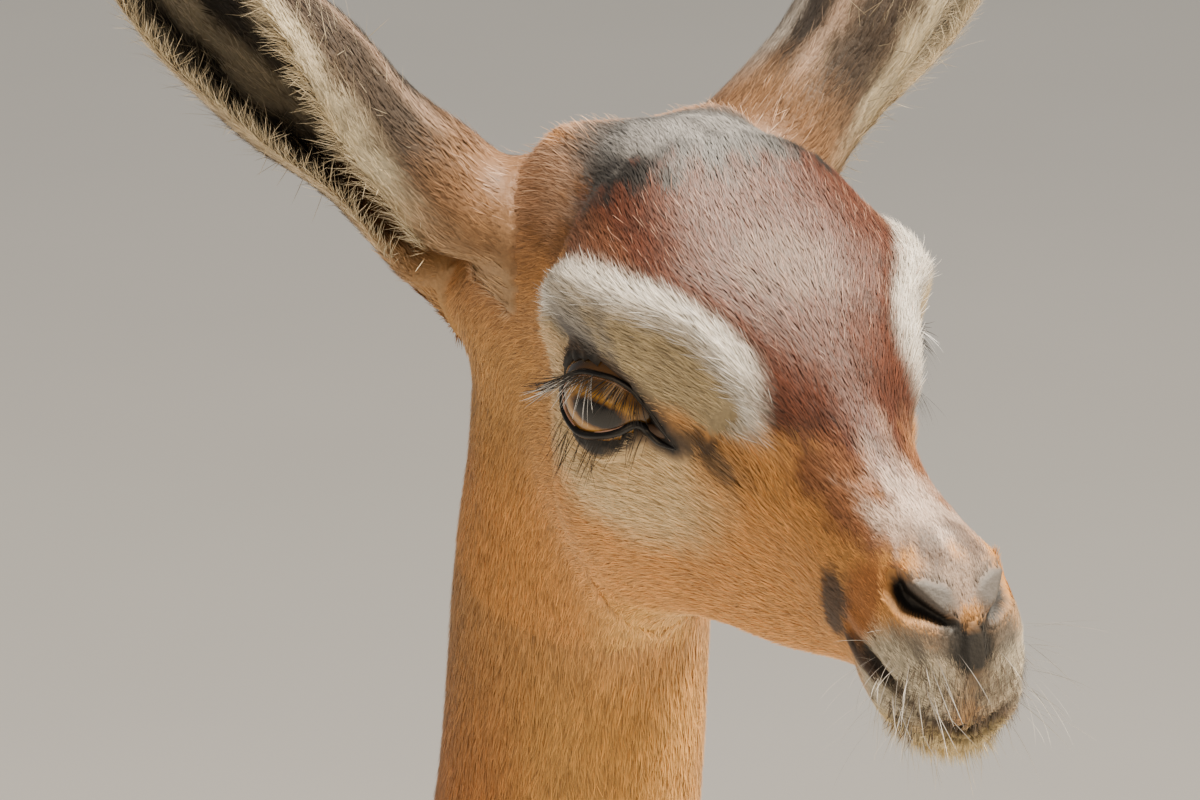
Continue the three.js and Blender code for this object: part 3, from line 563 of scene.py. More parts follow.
def meanAtPoints(values, faces, count):
    # mean over each point's triangles
    out = np.stack([np.bincount(faces.ravel(), np.repeat(row, 3), count) for row in values.T], -1)
    return out / np.maximum(np.bincount(faces.ravel(), minlength=count), 1)[:, None]


def relax(points, faces, weight, passes):
    # each pass moves a point towards the mean of its neighbours by its weight
    edges = np.concatenate([faces[:, [0, 1]], faces[:, [1, 2]], faces[:, [2, 0]]])
    count = np.maximum(np.bincount(edges[:, 0], minlength=len(points)), 1)
    for _ in range(passes):
        mean = np.stack([np.bincount(edges[:, 0], points[edges[:, 1], k], len(points)) for k in range(3)], -1)
        points = points + (mean / count[:, None] - points) * weight[:, None]
    return points


def normalsOf(points, faces):
    # unit normal at each point: the mean of its triangles' normals, weighted by area
    cross = np.cross(points[faces[:, 1]] - points[faces[:, 0]], points[faces[:, 2]] - points[faces[:, 0]])
    return unit(meanAtPoints(cross, faces, len(points)))


print("fusing the skin")
skin = joinedSkin()
skinPoints, skinFaces, skinFlat = arraysOf(skin.data)
faceIsland = islandOf(skinFlat.mean(1))
print("skin", len(skinPoints), "points", len(skinFaces), "triangles")

# Shoulders, haunches and ear roots blend into the trunk: points relax near the lines where they meet
lowest = np.full(len(skinPoints), 99)
highest = np.full(len(skinPoints), -1)
trunkLike = np.where(faceIsland <= 1, 0, faceIsland)
np.minimum.at(lowest, skinFaces.ravel(), np.repeat(trunkLike, 3))
np.maximum.at(highest, skinFaces.ravel(), np.repeat(trunkLike, 3))
meeting = skinPoints[lowest != highest]
blend = {"bodyReach": 0.03, "headReach": 0.009, "passes": 34}
reach = np.where(skinPoints[:, 2] > 1.2, blend["headReach"], blend["bodyReach"])
apart = np.full(len(skinPoints), 9.0)
for start in range(0, len(meeting), 256):
    part = meeting[start:start + 256]
    box = (skinPoints > part.min(0) - 0.08).all(1) & (skinPoints < part.max(0) + 0.08).all(1)
    apart[box] = np.minimum(apart[box], distanceTo(skinPoints[box], part)[0])
skinPoints = relax(skinPoints, skinFaces, 0.6 * np.exp(-((apart / reach) ** 2)), blend["passes"])
print("skin blended")

# The eyes' openings: the skin inside each lid line sinks under the ball, and outside it stays
# proud of the ball by the lid's thickness
lids = {
    "upper": [(-15.5, -2.5), (-13, 3.5), (-6, 9.2), (1.5, 10.5), (7, 9.4), (13, 6), (19, 1.5)],
    "lower": [(23.5, -2), (19, -2.8), (14.5, -1.4), (11, 0), (7, -3), (2, -5.8), (-6, -8.6), (-13, -6.5)],
    "sink": 2.6, "edge": 0.5, "thick": 2.0, "ballEnds": 15.5, "pocket": 1.3,
}
lidKnots = np.array(lids["upper"] + lids["lower"] + lids["upper"][:1], float)
lidLine = curveThrough(range(len(lidKnots)), lidKnots, np.linspace(0, len(lidKnots) - 1, 169))[:-1]


def eyeFrame(side):
    # centre of the ball and its directions: towards the nose, up, and the way it looks
    ahead, above, out = headAxis["ahead"], headAxis["above"], np.array([side, 0.0, 0.0])
    c, s = math.cos(body["eyeTurn"] * deg), math.sin(body["eyeTurn"] * deg)
    a, d, z = body["eyeCentre"]
    return headPlace(a, d * side, z), np.stack([ahead * c - out * s, above, ahead * s + out * c])


def insideLids(spots):
    # whether each place on the eye's front lies inside the lid line, by counting crossings
    a, b = lidLine, np.roll(lidLine, -1, 0)
    x, y = spots[:, :1], spots[:, 1:]
    spans = (a[:, 1] > y) != (b[:, 1] > y)
    rise = np.where(b[:, 1] == a[:, 1], 1, b[:, 1] - a[:, 1])
    return ((x < (b[:, 0] - a[:, 0]) * (y - a[:, 1]) / rise + a[:, 0]) & spans).sum(1) % 2 == 1


def openLids():
    # moves the skin along the ball's radius: inside the lid line it sinks under the ball, outside it
    # stays proud of it. Gives the distance from the lid line, below zero inside it.
    distance = np.full(len(skinPoints), 99.0)
    ball = body["eyeRadius"]
    for word, side in sides:
        centre, axes = eyeFrame(side)
        near = np.linalg.norm(skinPoints - centre, axis=1) < 0.045
        local = (skinPoints[near] - centre) @ axes.T * 1000
        facing = local[:, 2] > 0
        inside = insideLids(local[:, :2]) & facing
        apart = distanceTo(local[:, :2], lidLine)[0]
        signed = np.where(inside, -apart, np.where(facing, apart, 99.0))
        radius = np.linalg.norm(local, axis=1)
        onBall = inside & (local[:, 0] < lids["ballEnds"])
        lidRadius = ball + lids["edge"] + (lids["thick"] - lids["edge"]) * ease(signed, 0, 3.5)
        wanted = np.where(onBall, ball - lids["sink"], np.maximum(radius, lidRadius))
        wanted = np.where(inside & ~onBall, radius - lids["pocket"] * ease(apart, 0, 2), wanted)
        local *= (wanted / radius)[:, None]
        skinPoints[near] = centre + local @ axes / 1000
        distance[near] = np.minimum(distance[near], signed)
    return distance


def smoothOver(centre, reach, blur, seed):
    # near a place, each point moves towards the mean of the skin about it, weighted as a bell curve
    # of the distance; the mean is taken over places spread evenly by area
    a, b, c = (skinPoints[skinFaces[:, k]] for k in range(3))
    middle = (a + b + c) / 3
    area = np.linalg.norm(np.cross(b - a, c - a), axis=1)
    close = np.flatnonzero(np.linalg.norm((middle - centre) * (0.6, 1, 1), axis=1) < 2.4 * reach)
    picked = np.random.default_rng(seed).choice(close, 3000, p=area[close] / area[close].sum())
    apart = np.linalg.norm((skinPoints - centre) * (0.6, 1, 1), axis=1)
    moving = np.flatnonzero(apart < 1.8 * reach)
    for part in np.array_split(moving, 1 + len(moving) // 2000):
        far = ((skinPoints[part][:, None] - middle[picked][None]) ** 2).sum(-1)
        weight = np.exp(-far / (2 * blur * blur))
        mean = weight @ middle[picked] / weight.sum(1, keepdims=True)
        share = np.exp(-((apart[part] / reach) ** 4))[:, None]
        skinPoints[part] += (mean - skinPoints[part]) * share


smoothOver(headPlace(throat[0] - 2, 0, throat[1]), 0.026, 0.008, 21)
lidDistance = openLids()

# Nostrils and mouth: grooves pressed into the muzzle along their lines
nostril = {
    "line": [(119, 3.5, -11, 0.8), (113.5, 9.5, -9.5, 1.5), (108, 15.5, -7, 2.4), (102.5, 18.5, -4, 2.6),
             (98.5, 18.5, -1, 1.2)],  # ahead, out, above and radius
    "depth": 6.5, "towards": (96, 5, -13),
}
mouth = {
    "line": [(84, 21.5, -23), (95, 22, -24), (106, 21, -26), (115, 17, -30), (120, 10, -35.5), (122, 0, -40)],
    "depth": 3.6, "width": 0.9, "lip": 0.9, "lipWidth": 4, "towards": (88, 0, -30),
}
spot = headAxes(skinPoints)
onMuzzle = np.flatnonzero((spot[:, 0] > 70) & (spot[:, 2] > -60))
spot = spot[onMuzzle]
mirrored = spot * (1, 0, 1) + np.abs(spot) * (0, 1, 0)
knots = np.array(nostril["line"], float)
line = curveThrough(range(len(knots)), knots, np.linspace(0, len(knots) - 1, 60))
apart, which = distanceTo(mirrored * (1, 0.75, 1), line[:, :3] * (1, 0.75, 1))
press = ease(1.9 - apart / line[which, 3], 0, 1.5)
inward = unit(np.array(nostril["towards"]) - mirrored)
mirrored = mirrored + inward * (press * nostril["depth"] * np.minimum(1, line[which, 3] / 2))[:, None]
nostrilPress = np.zeros(len(skinPoints))
nostrilPress[onMuzzle] = press
knots = np.array(mouth["line"], float)
line = curveThrough(range(len(knots)), knots, np.linspace(0, len(knots) - 1, 60))
apart, which = distanceTo(mirrored, line)
ends = ease(which, 0, 8)
inward = unit(np.array(mouth["towards"]) - mirrored)
groove = mouth["depth"] * np.exp(-((apart / mouth["width"]) ** 2))
lip = mouth["lip"] * np.exp(-(((apart - mouth["lipWidth"]) / 2.2) ** 2))
mirrored = mirrored + inward * ((groove - lip) * ends)[:, None]
mouthDistance = np.full(len(skinPoints), 99.0)
mouthDistance[onMuzzle] = apart + 6 * (1 - ends)
skinPoints[onMuzzle] = headPlace(mirrored[:, 0], np.sign(spot[:, 1]) * mirrored[:, 1], mirrored[:, 2])

# What the coat needs at each point of the skin: its place in the head's axes, the island it lies
# on and its place there, and the way its hair runs
count = len(skinPoints)
corners = skinFlat.reshape(-1, 2)
pointIsland = np.zeros(count, int)
pointIsland[skinFaces.ravel()] = np.repeat(faceIsland, 3)
pointFlat = np.zeros((count, 2))
pointFlat[skinFaces.ravel()] = corners
islandBox = np.array(list(islands.values()))[pointIsland]
across, along = ((pointFlat - islandBox[:, :2]) / islandBox[:, 2:]).T
names = list(islands)
onHead = pointIsland == names.index("head")
onTrunk = pointIsland == names.index("trunk")
onEar = (pointIsland == names.index("ear_left")) | (pointIsland == names.index("ear_right"))
onTail = pointIsland == names.index("tail")
onLeg = ~(onHead | onTrunk | onEar | onTail)
place = headAxes(skinPoints)
ahead, out, above = place[:, 0], np.abs(place[:, 1]), place[:, 2]
forward = middleForward - skinPoints[:, 1] * 1000
height = skinPoints[:, 2] * 1000
wide = np.abs(skinPoints[:, 0]) * 1000
skinNormals = normalsOf(skinPoints, skinFaces)


def runOfMap():
    # the way the map's second direction runs over each triangle, as a mean at the points: the
    # coat lies from nose to rump, down the legs and from root to tip of the ears
    e1 = skinPoints[skinFaces[:, 1]] - skinPoints[skinFaces[:, 0]]
    e2 = skinPoints[skinFaces[:, 2]] - skinPoints[skinFaces[:, 0]]
    d1, d2 = skinFlat[:, 1] - skinFlat[:, 0], skinFlat[:, 2] - skinFlat[:, 0]
    area = d1[:, 0] * d2[:, 1] - d2[:, 0] * d1[:, 1]
    run = (e2 * d1[:, :1] - e1 * d2[:, :1]) * np.sign(area)[:, None]
    return unit(meanAtPoints(unit(run), skinFaces, count))


def within(at, radii, edge=0.35, ragged=0.1):
    # share from 0 to 1 of a soft-edged egg in the head's axes, its edge made ragged by a ripple
    far = np.sqrt((((np.stack([ahead, out, above], -1) - at) / radii) ** 2).sum(1))
    return ease(-(far + ragged * raggedness), -1 - edge / 2, -1 + edge / 2)


raggedness = ripple(skinPoints, 0.011, 3) + 0.6 * ripple(skinPoints, 0.004, 4)
crestApart = np.full(count, 99.0)
crestPart = np.zeros(count)
near = np.flatnonzero((ahead > -75) & (ahead < 60) & (above > -30) & onHead)
for chunk in np.array_split(near, 12):
    crestApart[chunk], crestPart[chunk] = distanceTo(np.stack([ahead, out, above], -1)[chunk], browCurve)
crestPart /= len(browCurve) - 1

# share of each point that lies between the brow's crest and the upper lid, seen from the side
browSide = browCurve[:45, [0, 2]]
crestAbove = np.interp(ahead, browSide[:, 0], browSide[:, 1])
lidAbove = body["eyeCentre"][2] + 7
insideBrow = (ease(above, lidAbove - 2, lidAbove + 3) * ease(crestAbove - above, -2, 3) * ease(out, 20, 28)
              * ease(ahead, -50, -44) * ease(-ahead, -40, -34))


def speckle(size, seed, low, high):
    return ease(ripple(skinPoints, size, seed), low, high)


def bodyShares():
    # share from 0 to 1 of each marking that follows the form of the body and head
    onBody = onTrunk | onLeg
    head = onHead * ease(height, 1180, 1235)
    foreheadLow = 14 - 0.17 * ahead + 2.5 * raggedness
    topOfFace = onHead * ease(above - foreheadLow, -3, 4) * ease(ahead, -66, -46) * ease(-ahead, -94, -78)
    inner = onHead * insideBrow
    puff = ease(-crestApart, -19, -12) * ease(crestPart, 0.02, 0.1) * ease(above, -6, 0)
    crest = ease(-crestApart, -9.5, -3) * onHead * ease(above, -4, 6)
    return {
        "body": onBody * 1.0,
        "neck": ease(-height, -1280, -1200) * ease(height, 800, 900),
        # painted light: the front of the neck is painted a brighter gold where its skin faces forward,
        # towards the light
        "neckFrontLit": (ease(-height, -1290, -1240) * ease(height, 1000, 1100)
                      * ease(-skinNormals[:, 1], 0.2, 0.8) * 0.7),
        "saddle": onBody * ease(forward, 285, 215) * ease(height - (forward + 300) * 0.03, 800, 826),
        "belly": onTrunk * ease(height - np.abs(forward + 10) * 0.06, 668, 640) * ease(forward, 300, 240),
        "innerLeg": onLeg * ease(-wide, -62, -50) * ease(height, 380, 470) * ease(-height, -720, -660),
        "rump": onTrunk * ease(-forward, 318, 350) * ease(-height, -870, -840),
        "knee": onLeg * ease(-np.abs(height - 352), -26, -12) * ease(forward, 214, 224) * 0.7,
        "tailEnd": onTail * ease(-height, -760, -700),
        "head": head,
        "throat": head * ease(-out, -24, -8) * ease(-above, 70, 88),
        "topOfFace": topOfFace,
        "faceShade": topOfFace * speckle(0.014, 8, 0.3, 0.9) * 0.4,
        "flecks": speckle(0.003, 17, 0.25, 0.8),
        "stipple": speckle(0.0026, 9, 0.35, 0.75) * 0.8,
        "whiskerDots": speckle(0.0032, 31, 0.55, 0.75),
        "overEye": np.maximum(puff * ease(insideBrow, 0.02, 0.2), inner),
        "inner": inner,
        "crest": crest,
        "browGrey": np.maximum(crest, inner) * 0.55,
        "browDots": speckle(0.0028, 23, 0.6, 0.85) * inner * 0.7,
        "roundLids": ease(-lidDistance, -5, -2.4) * 0.85,
        "lidEdge": ease(-lidDistance, -2.2, -1.0),
        # the nostrils' grooves and the mouth's crease carry painted shade
        "nostrils": ease(nostrilPress, 0.25, 0.6),
        "mouthLine": ease(-mouthDistance, -1.5, -0.7),
    }


earMarks = {
    "bands": ((0.1, 0.26), (0.26, 0.44), (0.44, 0.52), (0.54, 0.82)),  # down the outer front wall
    "bandEdge": 0.045, "bandFrom": (30, 56),  # distance from the root
    "streaks": (-0.72, -0.4, -0.08, 0.24), "streakFrom": (52, 80),  # in the hollow
}


def earShares():
    # the same for the ears, with each point's place from the back rim, -1, to the front rim, 1,
    # whether it lies in the hollow, and its distance from the root
    steps = ear["across"]
    ringPlace = across * (2 * steps + 2)
    hollow = onEar & (ringPlace > steps + 0.5)
    place = np.where(hollow, -((ringPlace - steps - 1) / steps * 2 - 1), ringPlace / steps * 2 - 1)
    far = along * ear["form"][-1][0]
    wavy = place + 0.035 * raggedness
    outer = onEar & ~hollow
    edge = earMarks["bandEdge"]
    shares = {}
    for number, (low, high) in enumerate(earMarks["bands"]):
        inBand = ease(wavy, low - edge, low + edge) * ease(-wavy, -high - edge, -high + edge)
        shares[f"band{number}"] = outer * inBand * ease(far, *earMarks["bandFrom"])
    apart = np.abs(wavy[:, None] - earMarks["streaks"]).min(1)
    folded = np.concatenate([np.abs(skinPoints[:, :1]), skinPoints[:, 1:]], 1)
    reach = np.linalg.norm(folded - headPlace(*ear["root"]), axis=1) * 1000
    root = (onEar | onHead) * ease(-reach, -64, -34) * ease(height, 1180, 1235)
    shares |= {
        "ear": onEar * 1.0,
        "hollow": hollow * 1.0,
        "streaks": hollow * ease(-apart, -0.11, -0.04) * ease(far, *earMarks["streakFrom"]) * 0.85,
        "frontRim": onEar * ease(wavy, 0.82, 0.9),
        "backRim": onEar * ease(-wavy, 0.84, 0.93),
        "grizzle": outer * speckle(0.003, 5, 0.2, 0.8) * 0.45,
        "earRoot": root * (onEar * 0.85 + onHead * 0.6),
        "earRootAbove": root * ease(above, -4, 24) * 0.6,
        "earRootBelow": root * ease(-above, 8, 30) * 0.7,
    }
    return shares, place, hollow, far


# Markings, painted one over another on the skin's points. Each row has its strength, which is a
# number or one of the shares above, the colour at the hairs' roots and on the skin, and the colour
# at their tips. A soft-edged patch of the head also has its centre, radii, edge and raggedness.
marks = [
    (1, "#b5803f", "#d9a566"),
    ("body", "#a9743c", "#cf9c5e"),
    ("neck", "#a9662a", "#cb8a48"),
    # painted light: brighter gold on the neck where its skin faces forward
    ("neckFrontLit", "#c48a38", "#e3b260"),
    ("saddle", "#6b3a22", "#945a38"),
    ("belly", "#d8cdb8", "#efe8da"),
    ("innerLeg", "#d8cdb8", "#efe8da"),
    ("rump", "#ddd3c0", "#f2ecdf"),
    ("knee", "#4a3222", "#6b4a34"),
    ("tailEnd", "#15110f", "#2b221e"),
    # head: golden cheeks, chestnut forehead and bridge, slate crown
    ("head", "#bd7f38", "#e8ac62"),
    ("throat", "#cf9440", "#efbf70"),
    (1, "#94582e", "#c68d58", (-92, 26, 6), (34, 48, 52), 0.6),  # behind the ears
    ("topOfFace", "#381a0d", "#6e3a24"),
    ("faceShade", "#24110a", "#4a2719"),
    (1, "#6b3a20", "#a8724a", (70, 13, 2), (26, 9, 9), 0.7, 0.3),  # sides of the bridge
    (1, "#2c1c17", "#8d6a58", (8, 4, 36), (13, 9, 8), 0.8, 0.5),  # dark spot of the forehead
    (0.7, "#4a2a1c", "#8d5c3e", (-26, 42, 30), (22, 4.5, 14), 0.7, 0.3),  # line along the brow
    (0.7, "#7a5038", "#c39a7c", (-84, 30, 22), (26, 28, 22), 0.5, 0.3),  # poll
    (0.8, "#3c2418", "#6b4630", (-60, 40, 20), (30, 5, 10), 0.7, 0.3),  # dark line towards the ear
    (1, "#121213", "#6b6b6c", (-58, 0, 46), (31, 46, 26), 0.35, 0.25),  # crown
    (1, "#0d0c0b", "#211e1d", (-40, 26, 38), (12, 12, 10), 0.6, 0.4),  # its black front corners
    # painted sheen: the silver patch in the crown's middle stands for light falling on its top
    (0.35, "#8f8b88", "#e8e6e4", (-50, 10, 46), (10, 16, 8), 0.8, 0.5),  # its silver middle
    (1, "#7a5236", "#c79f80", (-86, 6, 38), (12, 34, 20), 0.5, 0.2),  # between the ears
    ("flecks", "#5a3a24", "#7d5636", (-96, 24, 2), (30, 40, 34), 0.6, 0.3),
    (1, "#9a6a48", "#e3c3ab", (-66, 38, 26), (13, 10, 12), 0.6, 0.3),  # before the ear
    # muzzle: pale above with brown stipple, grey round the nostrils, cream lips with dark dots
    (0.35, "#9a7460", "#d8b8a2", (70, 4, 12), (14, 4, 6), 0.9, 0.4),
    (1, "#a88873", "#e6d0c0", (92, 0, 7), (21, 15, 9), 0.8, 0.35),
    (1, "#7d6656", "#c2aa98", (106, 0, -4), (12, 13, 9), 0.7, 0.3),
    (0.8, "#4a362b", "#6b5446", (99, 6, 4), (8, 5, 4), 0.8, 0.5),
    ("stipple", "#3a2a22", "#5c463a", (100, 0, 0), (20, 22, 13), 0.6),
    (1, "#a1957f", "#ece2ca", (110, 12, -28), (17, 18, 15), 0.6),  # lips
    (1, "#b5a070", "#e6d3a4", (112, 8, -44), (20, 18, 8), 0.5),  # chin
    (1, "#a9925c", "#dcbf80", (98, 22, -47), (22, 14, 7), 0.5),
    (1, "#9c5a26", "#c98a4c", (93, 22, -14), (9, 9, 14), 0.5),  # behind the nostril
    (1, "#33241a", "#6b5340", (80, 22, -22), (8, 9, 10), 0.6, 0.3),  # corner of the mouth
    (1, "#33231a", "#5c4636", (99, 22, -28), (15, 7, 3.4), 0.6, 0.3),
    (0.8, "#2b2826", "#5f5a56", (116, 6, -15), (8, 8, 5), 0.9, 0.4),
    (1, "#100f0e", "#2b2927", (118, 0, -17), (9, 6, 10), 0.7, 0.3),  # between the nostrils
    (0.6, "#3a3633", "#7c746c", (111, 14, -15), (8, 7, 4), 0.9, 0.4),
    (1, "#4f4b49", "#77716c", (110, 12, -5), (9, 9, 4.5), 0.6),  # wings of the nostrils
    ("whiskerDots", "#120e0c", "#1c1714", (106, 16, -30), (16, 16, 13), 0.5),
    # round the eye: cream below and behind, grey and beige above, black lids and gland patch
    (1, "#c7a066", "#f2d9aa", (2, 42, -26), (42, 22, 20), 0.7),
    (1, "#bb9a6a", "#ead3ac", (-34, 46, -8), (12, 14, 18), 0.6),
    ("overEye", "#8f7f62", "#cdb98f"),
    # the grey between the brow's crest and the upper lid is partly the fur's own grey and partly painted
    # shade under the overhanging brow
    ("inner", "#6f6a64", "#b9b4ac", (-26, 46, 12), (22, 14, 12), 0.8, 0.3),
    ("crest", "#b3aa9c", "#f6f1e8"),
    ("browGrey", "#5d5853", "#a39e97", (-22, 45, 14), (22, 16, 11), 0.9, 0.4),
    ("browDots", "#4a3e30", "#7d6f58", (8, 40, 12), (24, 20, 14), 0.6),
    (1, "#2d2a29", "#6d6a68", (-13, 46, 4), (19, 12, 5.5), 0.6, 0.3),
    (0.85, "#1c1511", "#54422f", (31, 28, -9), (8, 8, 5), 0.9, 0.5),
    (0.8, "#221913", "#4f3e2f", (23, 32, -6), (8, 8, 3), 0.8, 0.4),
    ("roundLids", "#33271f", "#6b5846"),
    ("lidEdge", "#0d0a09", "#1f1916"),
    # painted shade: the nostrils' grooves and the mouth's crease are painted near black for the dark of their
    # depth
    ("nostrils", "#0d0908", "#15100e"),
    ("mouthLine", "#15100d", "#241a15"),
    # ears: a grey-tan back, silver, dark and pinkish bands down the front wall, cream rims, and a
    # dark hollow with cream streaks
    ("ear", "#5e4c3c", "#8f7b65"),
    ("band0", "#8d847b", "#cfc8c0"),
    ("band1", "#1d1917", "#463f3a"),
    ("band2", "#9c7c66", "#cfb5a0"),
    ("band3", "#2a221d", "#62554a"),
    ("hollow", "#120f0d", "#28221e"),
    ("streaks", "#b7a98d", "#e6dcc6"),
    ("frontRim", "#cdbf9c", "#f3e9cf"),
    ("backRim", "#c3ad88", "#ead9b8"),
    ("grizzle", "#3f342c", "#6b5b4c"),
    ("earRoot", "#8a6238", "#bb9160"),
    ("earRootAbove", "#6e4630", "#a87c5e"),
    ("earRootBelow", "#a8763a", "#d6a45c"),
]


def painted(shares):
    # each mark moves the colours under it towards its own by its share
    root, tip = np.zeros((count, 3)), np.zeros((count, 3))
    for strength, rootHex, tipHex, *patch in marks:
        share = (shares.get(strength, strength) * (within(*patch) if patch else np.ones(count)))[:, None]
        root = root + (linear(rootHex) - root) * share
        tip = tip + (linear(tipHex) - tip) * share
    return root, tip


earPart, earShare, innerEar, earFar = earShares()
rootTint, tipTint = painted(bodyShares() | earPart)
bare = np.clip(within((111, 12.5, -5), (9, 9, 4), 0.4) + within((118, 0, -18), (6, 3, 9), 0.5)
               + ease(-lidDistance, -1.8, -0.9) + ease(nostrilPress, 0.1, 0.4), 0, 1)

# The coat's length and how far it stands off the skin, in millimetres and degrees
lengths = {
    "leg": 8.0, "tail": 14.0, "ear": 6.0, "trunk": 13.0, "head": 5.5, "neckLess": 5.5, "throatMore": 2.0,
    "muzzleLess": 2.4, "thighMore": 5, "crestMore": 1.5, "lidLess": 0.5,
}
lifts = {"leg": 13.0, "trunk": 12.0, "tail": 14.0, "head": 15.0, "crestMore": 6}
hair = np.select([onLeg, onTail, onEar, onTrunk], [lengths[k] for k in ("leg", "tail", "ear", "trunk")],
                 lengths["head"])
hair = hair - onTrunk * lengths["neckLess"] * ease(height, 1000, 1180)
hair = hair + onHead * (lengths["throatMore"] * ease(-height, -1290, -1230)
                        - lengths["muzzleLess"] * ease(ahead, 55, 95))
hair = hair + onLeg * lengths["thighMore"] * ease(height, 450, 640)
puffed = onHead * ease(-crestApart, -12, -5)
hair = hair + lengths["crestMore"] * puffed
hair = hair * (1 - lengths["lidLess"] * ease(-lidDistance, -6, -2))
lift = np.select([onLeg, onTrunk, onTail], [lifts[k] for k in ("leg", "trunk", "tail")], lifts["head"])
lift = lift + lifts["crestMore"] * puffed
coatDepth = hair * np.sin(lift * deg) * (1 - bare)
coatDepth = np.where(onEar | onTail, 0, coatDepth) * ease(lidDistance, 0, 6)
skinPoints -= skinNormals * (coatDepth / 1000)[:, None]
openLids()
run = relax(runOfMap(), skinFaces, np.where(onEar, 0.2, 0.7), 8)
run = run + np.array([0, 0, -0.5]) * (onTrunk * ease(-forward, -250, -150))[:, None]
run = run + 0.1 * puffed[:, None] * skinNormals
run = unit(run - skinNormals * (run * skinNormals).sum(1, keepdims=True))
print("coat planned")


def sample(weight, amount, seed):
    # roots spread over the skin: a triangle is drawn as often as its area times its weight, and the
    # place in it at random; everything known at the points is carried over by its three shares
    source = np.random.default_rng(seed)
    a, b, c = (skinPoints[skinFaces[:, k]] for k in range(3))
    area = np.linalg.norm(np.cross(b - a, c - a), axis=1) * weight[skinFaces].mean(1)
    picked = np.sort(source.choice(len(area), amount, p=area / area.sum()))
    u, v = source.random((2, amount))
    turned = u + v > 1
    u, v = np.where(turned, 1 - u, u), np.where(turned, 1 - v, v)
    shares = np.stack([1 - u - v, u, v], -1)[:, :, None]
    faces = skinFaces[picked]
    carried = [(values[faces] * shares).sum(1) for values in
               (skinPoints, skinNormals, run, rootTint, tipTint, np.stack([hair, lift, bare], -1))]
    return *carried, (skinFlat[picked] * shares).sum(1), source


def bladesOf(roots, lie, up, length, width, rise, curl, joints, rootColour, tipColour, flat):
    # flat tapered hairs: each starts in a point at its root, widens to a third of the way and
    # narrows to a point. A place at share s lies s lengths along the lie and, off the skin, s times
    # the sine of the rise less the curl times s squared.
    amount = len(roots)
    side = unit(np.cross(lie, up))
    shares = np.concatenate([[0], np.repeat(np.linspace(0.34, 0.78 if joints > 1 else 0.34, joints), 2), [1]])
    widths = np.concatenate([[0], np.repeat(1 - 0.45 * np.linspace(0, 1, joints) ** 1.5, 2), [0]])
    widths = widths * np.concatenate([[0], np.tile([-0.5, 0.5], joints), [0]])
    s = shares[None, :, None]
    go = lie * np.cos(rise * deg)[:, None]
    off = up[:, None] * (s * np.sin(rise * deg)[:, None, None] - curl[:, None, None] * s * s)
    points = (roots[:, None] + length[:, None, None] * (go[:, None] * s + off)
              + side[:, None] * (width[:, None] * widths)[..., None])
    corner = [(0, 1, 2)]
    for k in range(joints - 1):
        a = 1 + 2 * k
        corner += [(a, a + 2, a + 3), (a, a + 3, a + 1)]
    last = 2 * joints - 1
    corner.append((last, last + 2, last + 1))
    each = 2 * joints + 2
    faces = (np.arange(amount) * each)[:, None, None] + np.array(corner)[None, :, ::-1]
    tint = rootColour[:, None] + (tipColour - rootColour)[:, None] * s
    patch = np.stack([widths, shares - 0.5], -1) * coat["patch"]
    spread = flat[:, None] + patch[None]
    corners = spread[:, np.array(corner)[:, ::-1]].reshape(-1, 3, 2)
    return points.reshape(-1, 3), faces.reshape(-1, 3), tint.reshape(-1, 3), corners


coat = {
    "patch": 0.003,  # each hair's patch on the flat map
    "rootSunk": 0.4,
    "headHairs": 310000, "earHairs": 72000, "neckHairs": 120000, "bodyHairs": 140000, "pieceHairs": 97000,
    "headWidth": 0.34, "earWidth": 0.36, "neckWidth": 0.42, "bodyWidth": 1.7,
    "shade": 0.22,  # how much hairs differ in brightness
    "stray": 0.16,  # how much they differ in direction
    "lengths": (0.75, 1.2), "rises": (0.6, 1.5), "curls": (0.3, 0.6),  # shares that hairs vary by
    "fullWidthFrom": 4,  # shorter hairs are thinner too
    "quickShare": 0.35,
}


def dress(made, look, slotName, *nodes):
    # material and body of a piece, and the solids it stands for; the slot name is not used
    made.data.materials.append(look)
    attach(made, "root")
    if nodes:
        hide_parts(*nodes)


def coatPieces(name, weight, amount, width, seed, slotName):
    # one stretch of the coat, cut into pieces along the map
    roots, up, lie, dark, pale, more, flat, source = sample(weight, amount, seed)
    up, lie = unit(up), unit(lie)
    length, rise, naked = more.T
    keep = source.random(amount) > naked * 1.3
    side = np.cross(lie, up)
    drift = ripple(roots, 0.02, seed) * 0.12 + source.normal(0, coat["stray"], amount)
    lie = unit(lie + side * drift[:, None])
    length = length * source.uniform(*coat["lengths"], amount) / 1000
    rise = rise * source.uniform(*coat["rises"], amount)
    thin = width * source.uniform(0.75, 1.25, amount)
    thin = thin * np.minimum(1, length * 1000 / coat["fullWidthFrom"]) / 1000
    shade = (1 + coat["shade"] * source.normal(0, 1, amount)).clip(0.45, 1.7)[:, None]
    clump = (1 + 0.1 * ripple(roots, 0.006, seed + 1))[:, None]
    dark, pale = dark * shade * clump * 0.85, pale * shade * clump
    curl = np.sin(rise * deg) * source.uniform(*coat["curls"], amount)
    roots = roots - up * coat["rootSunk"] / 1000
    order = np.flatnonzero(keep)
    order = order[np.argsort(flat[order, 1], kind="stable")]
    pieces = max(1, math.ceil(len(order) / coat["pieceHairs"]))
    for number, part in enumerate(np.array_split(order, pieces)):
        piece = flat[part]
        piece = 0.01 + 0.98 * (piece - piece.min(0)) / (piece.max(0) - piece.min(0))
        points, faces, tint, corners = bladesOf(
            roots[part], lie[part], up[part], length[part], thin[part], rise[part], curl[part], 1,
            dark[part], pale[part], piece)
        dress(meshFrom(f"{name}_{number + 1}", points, faces, corners, tint), furLook, slotName)
    print(name, len(order), "hairs")


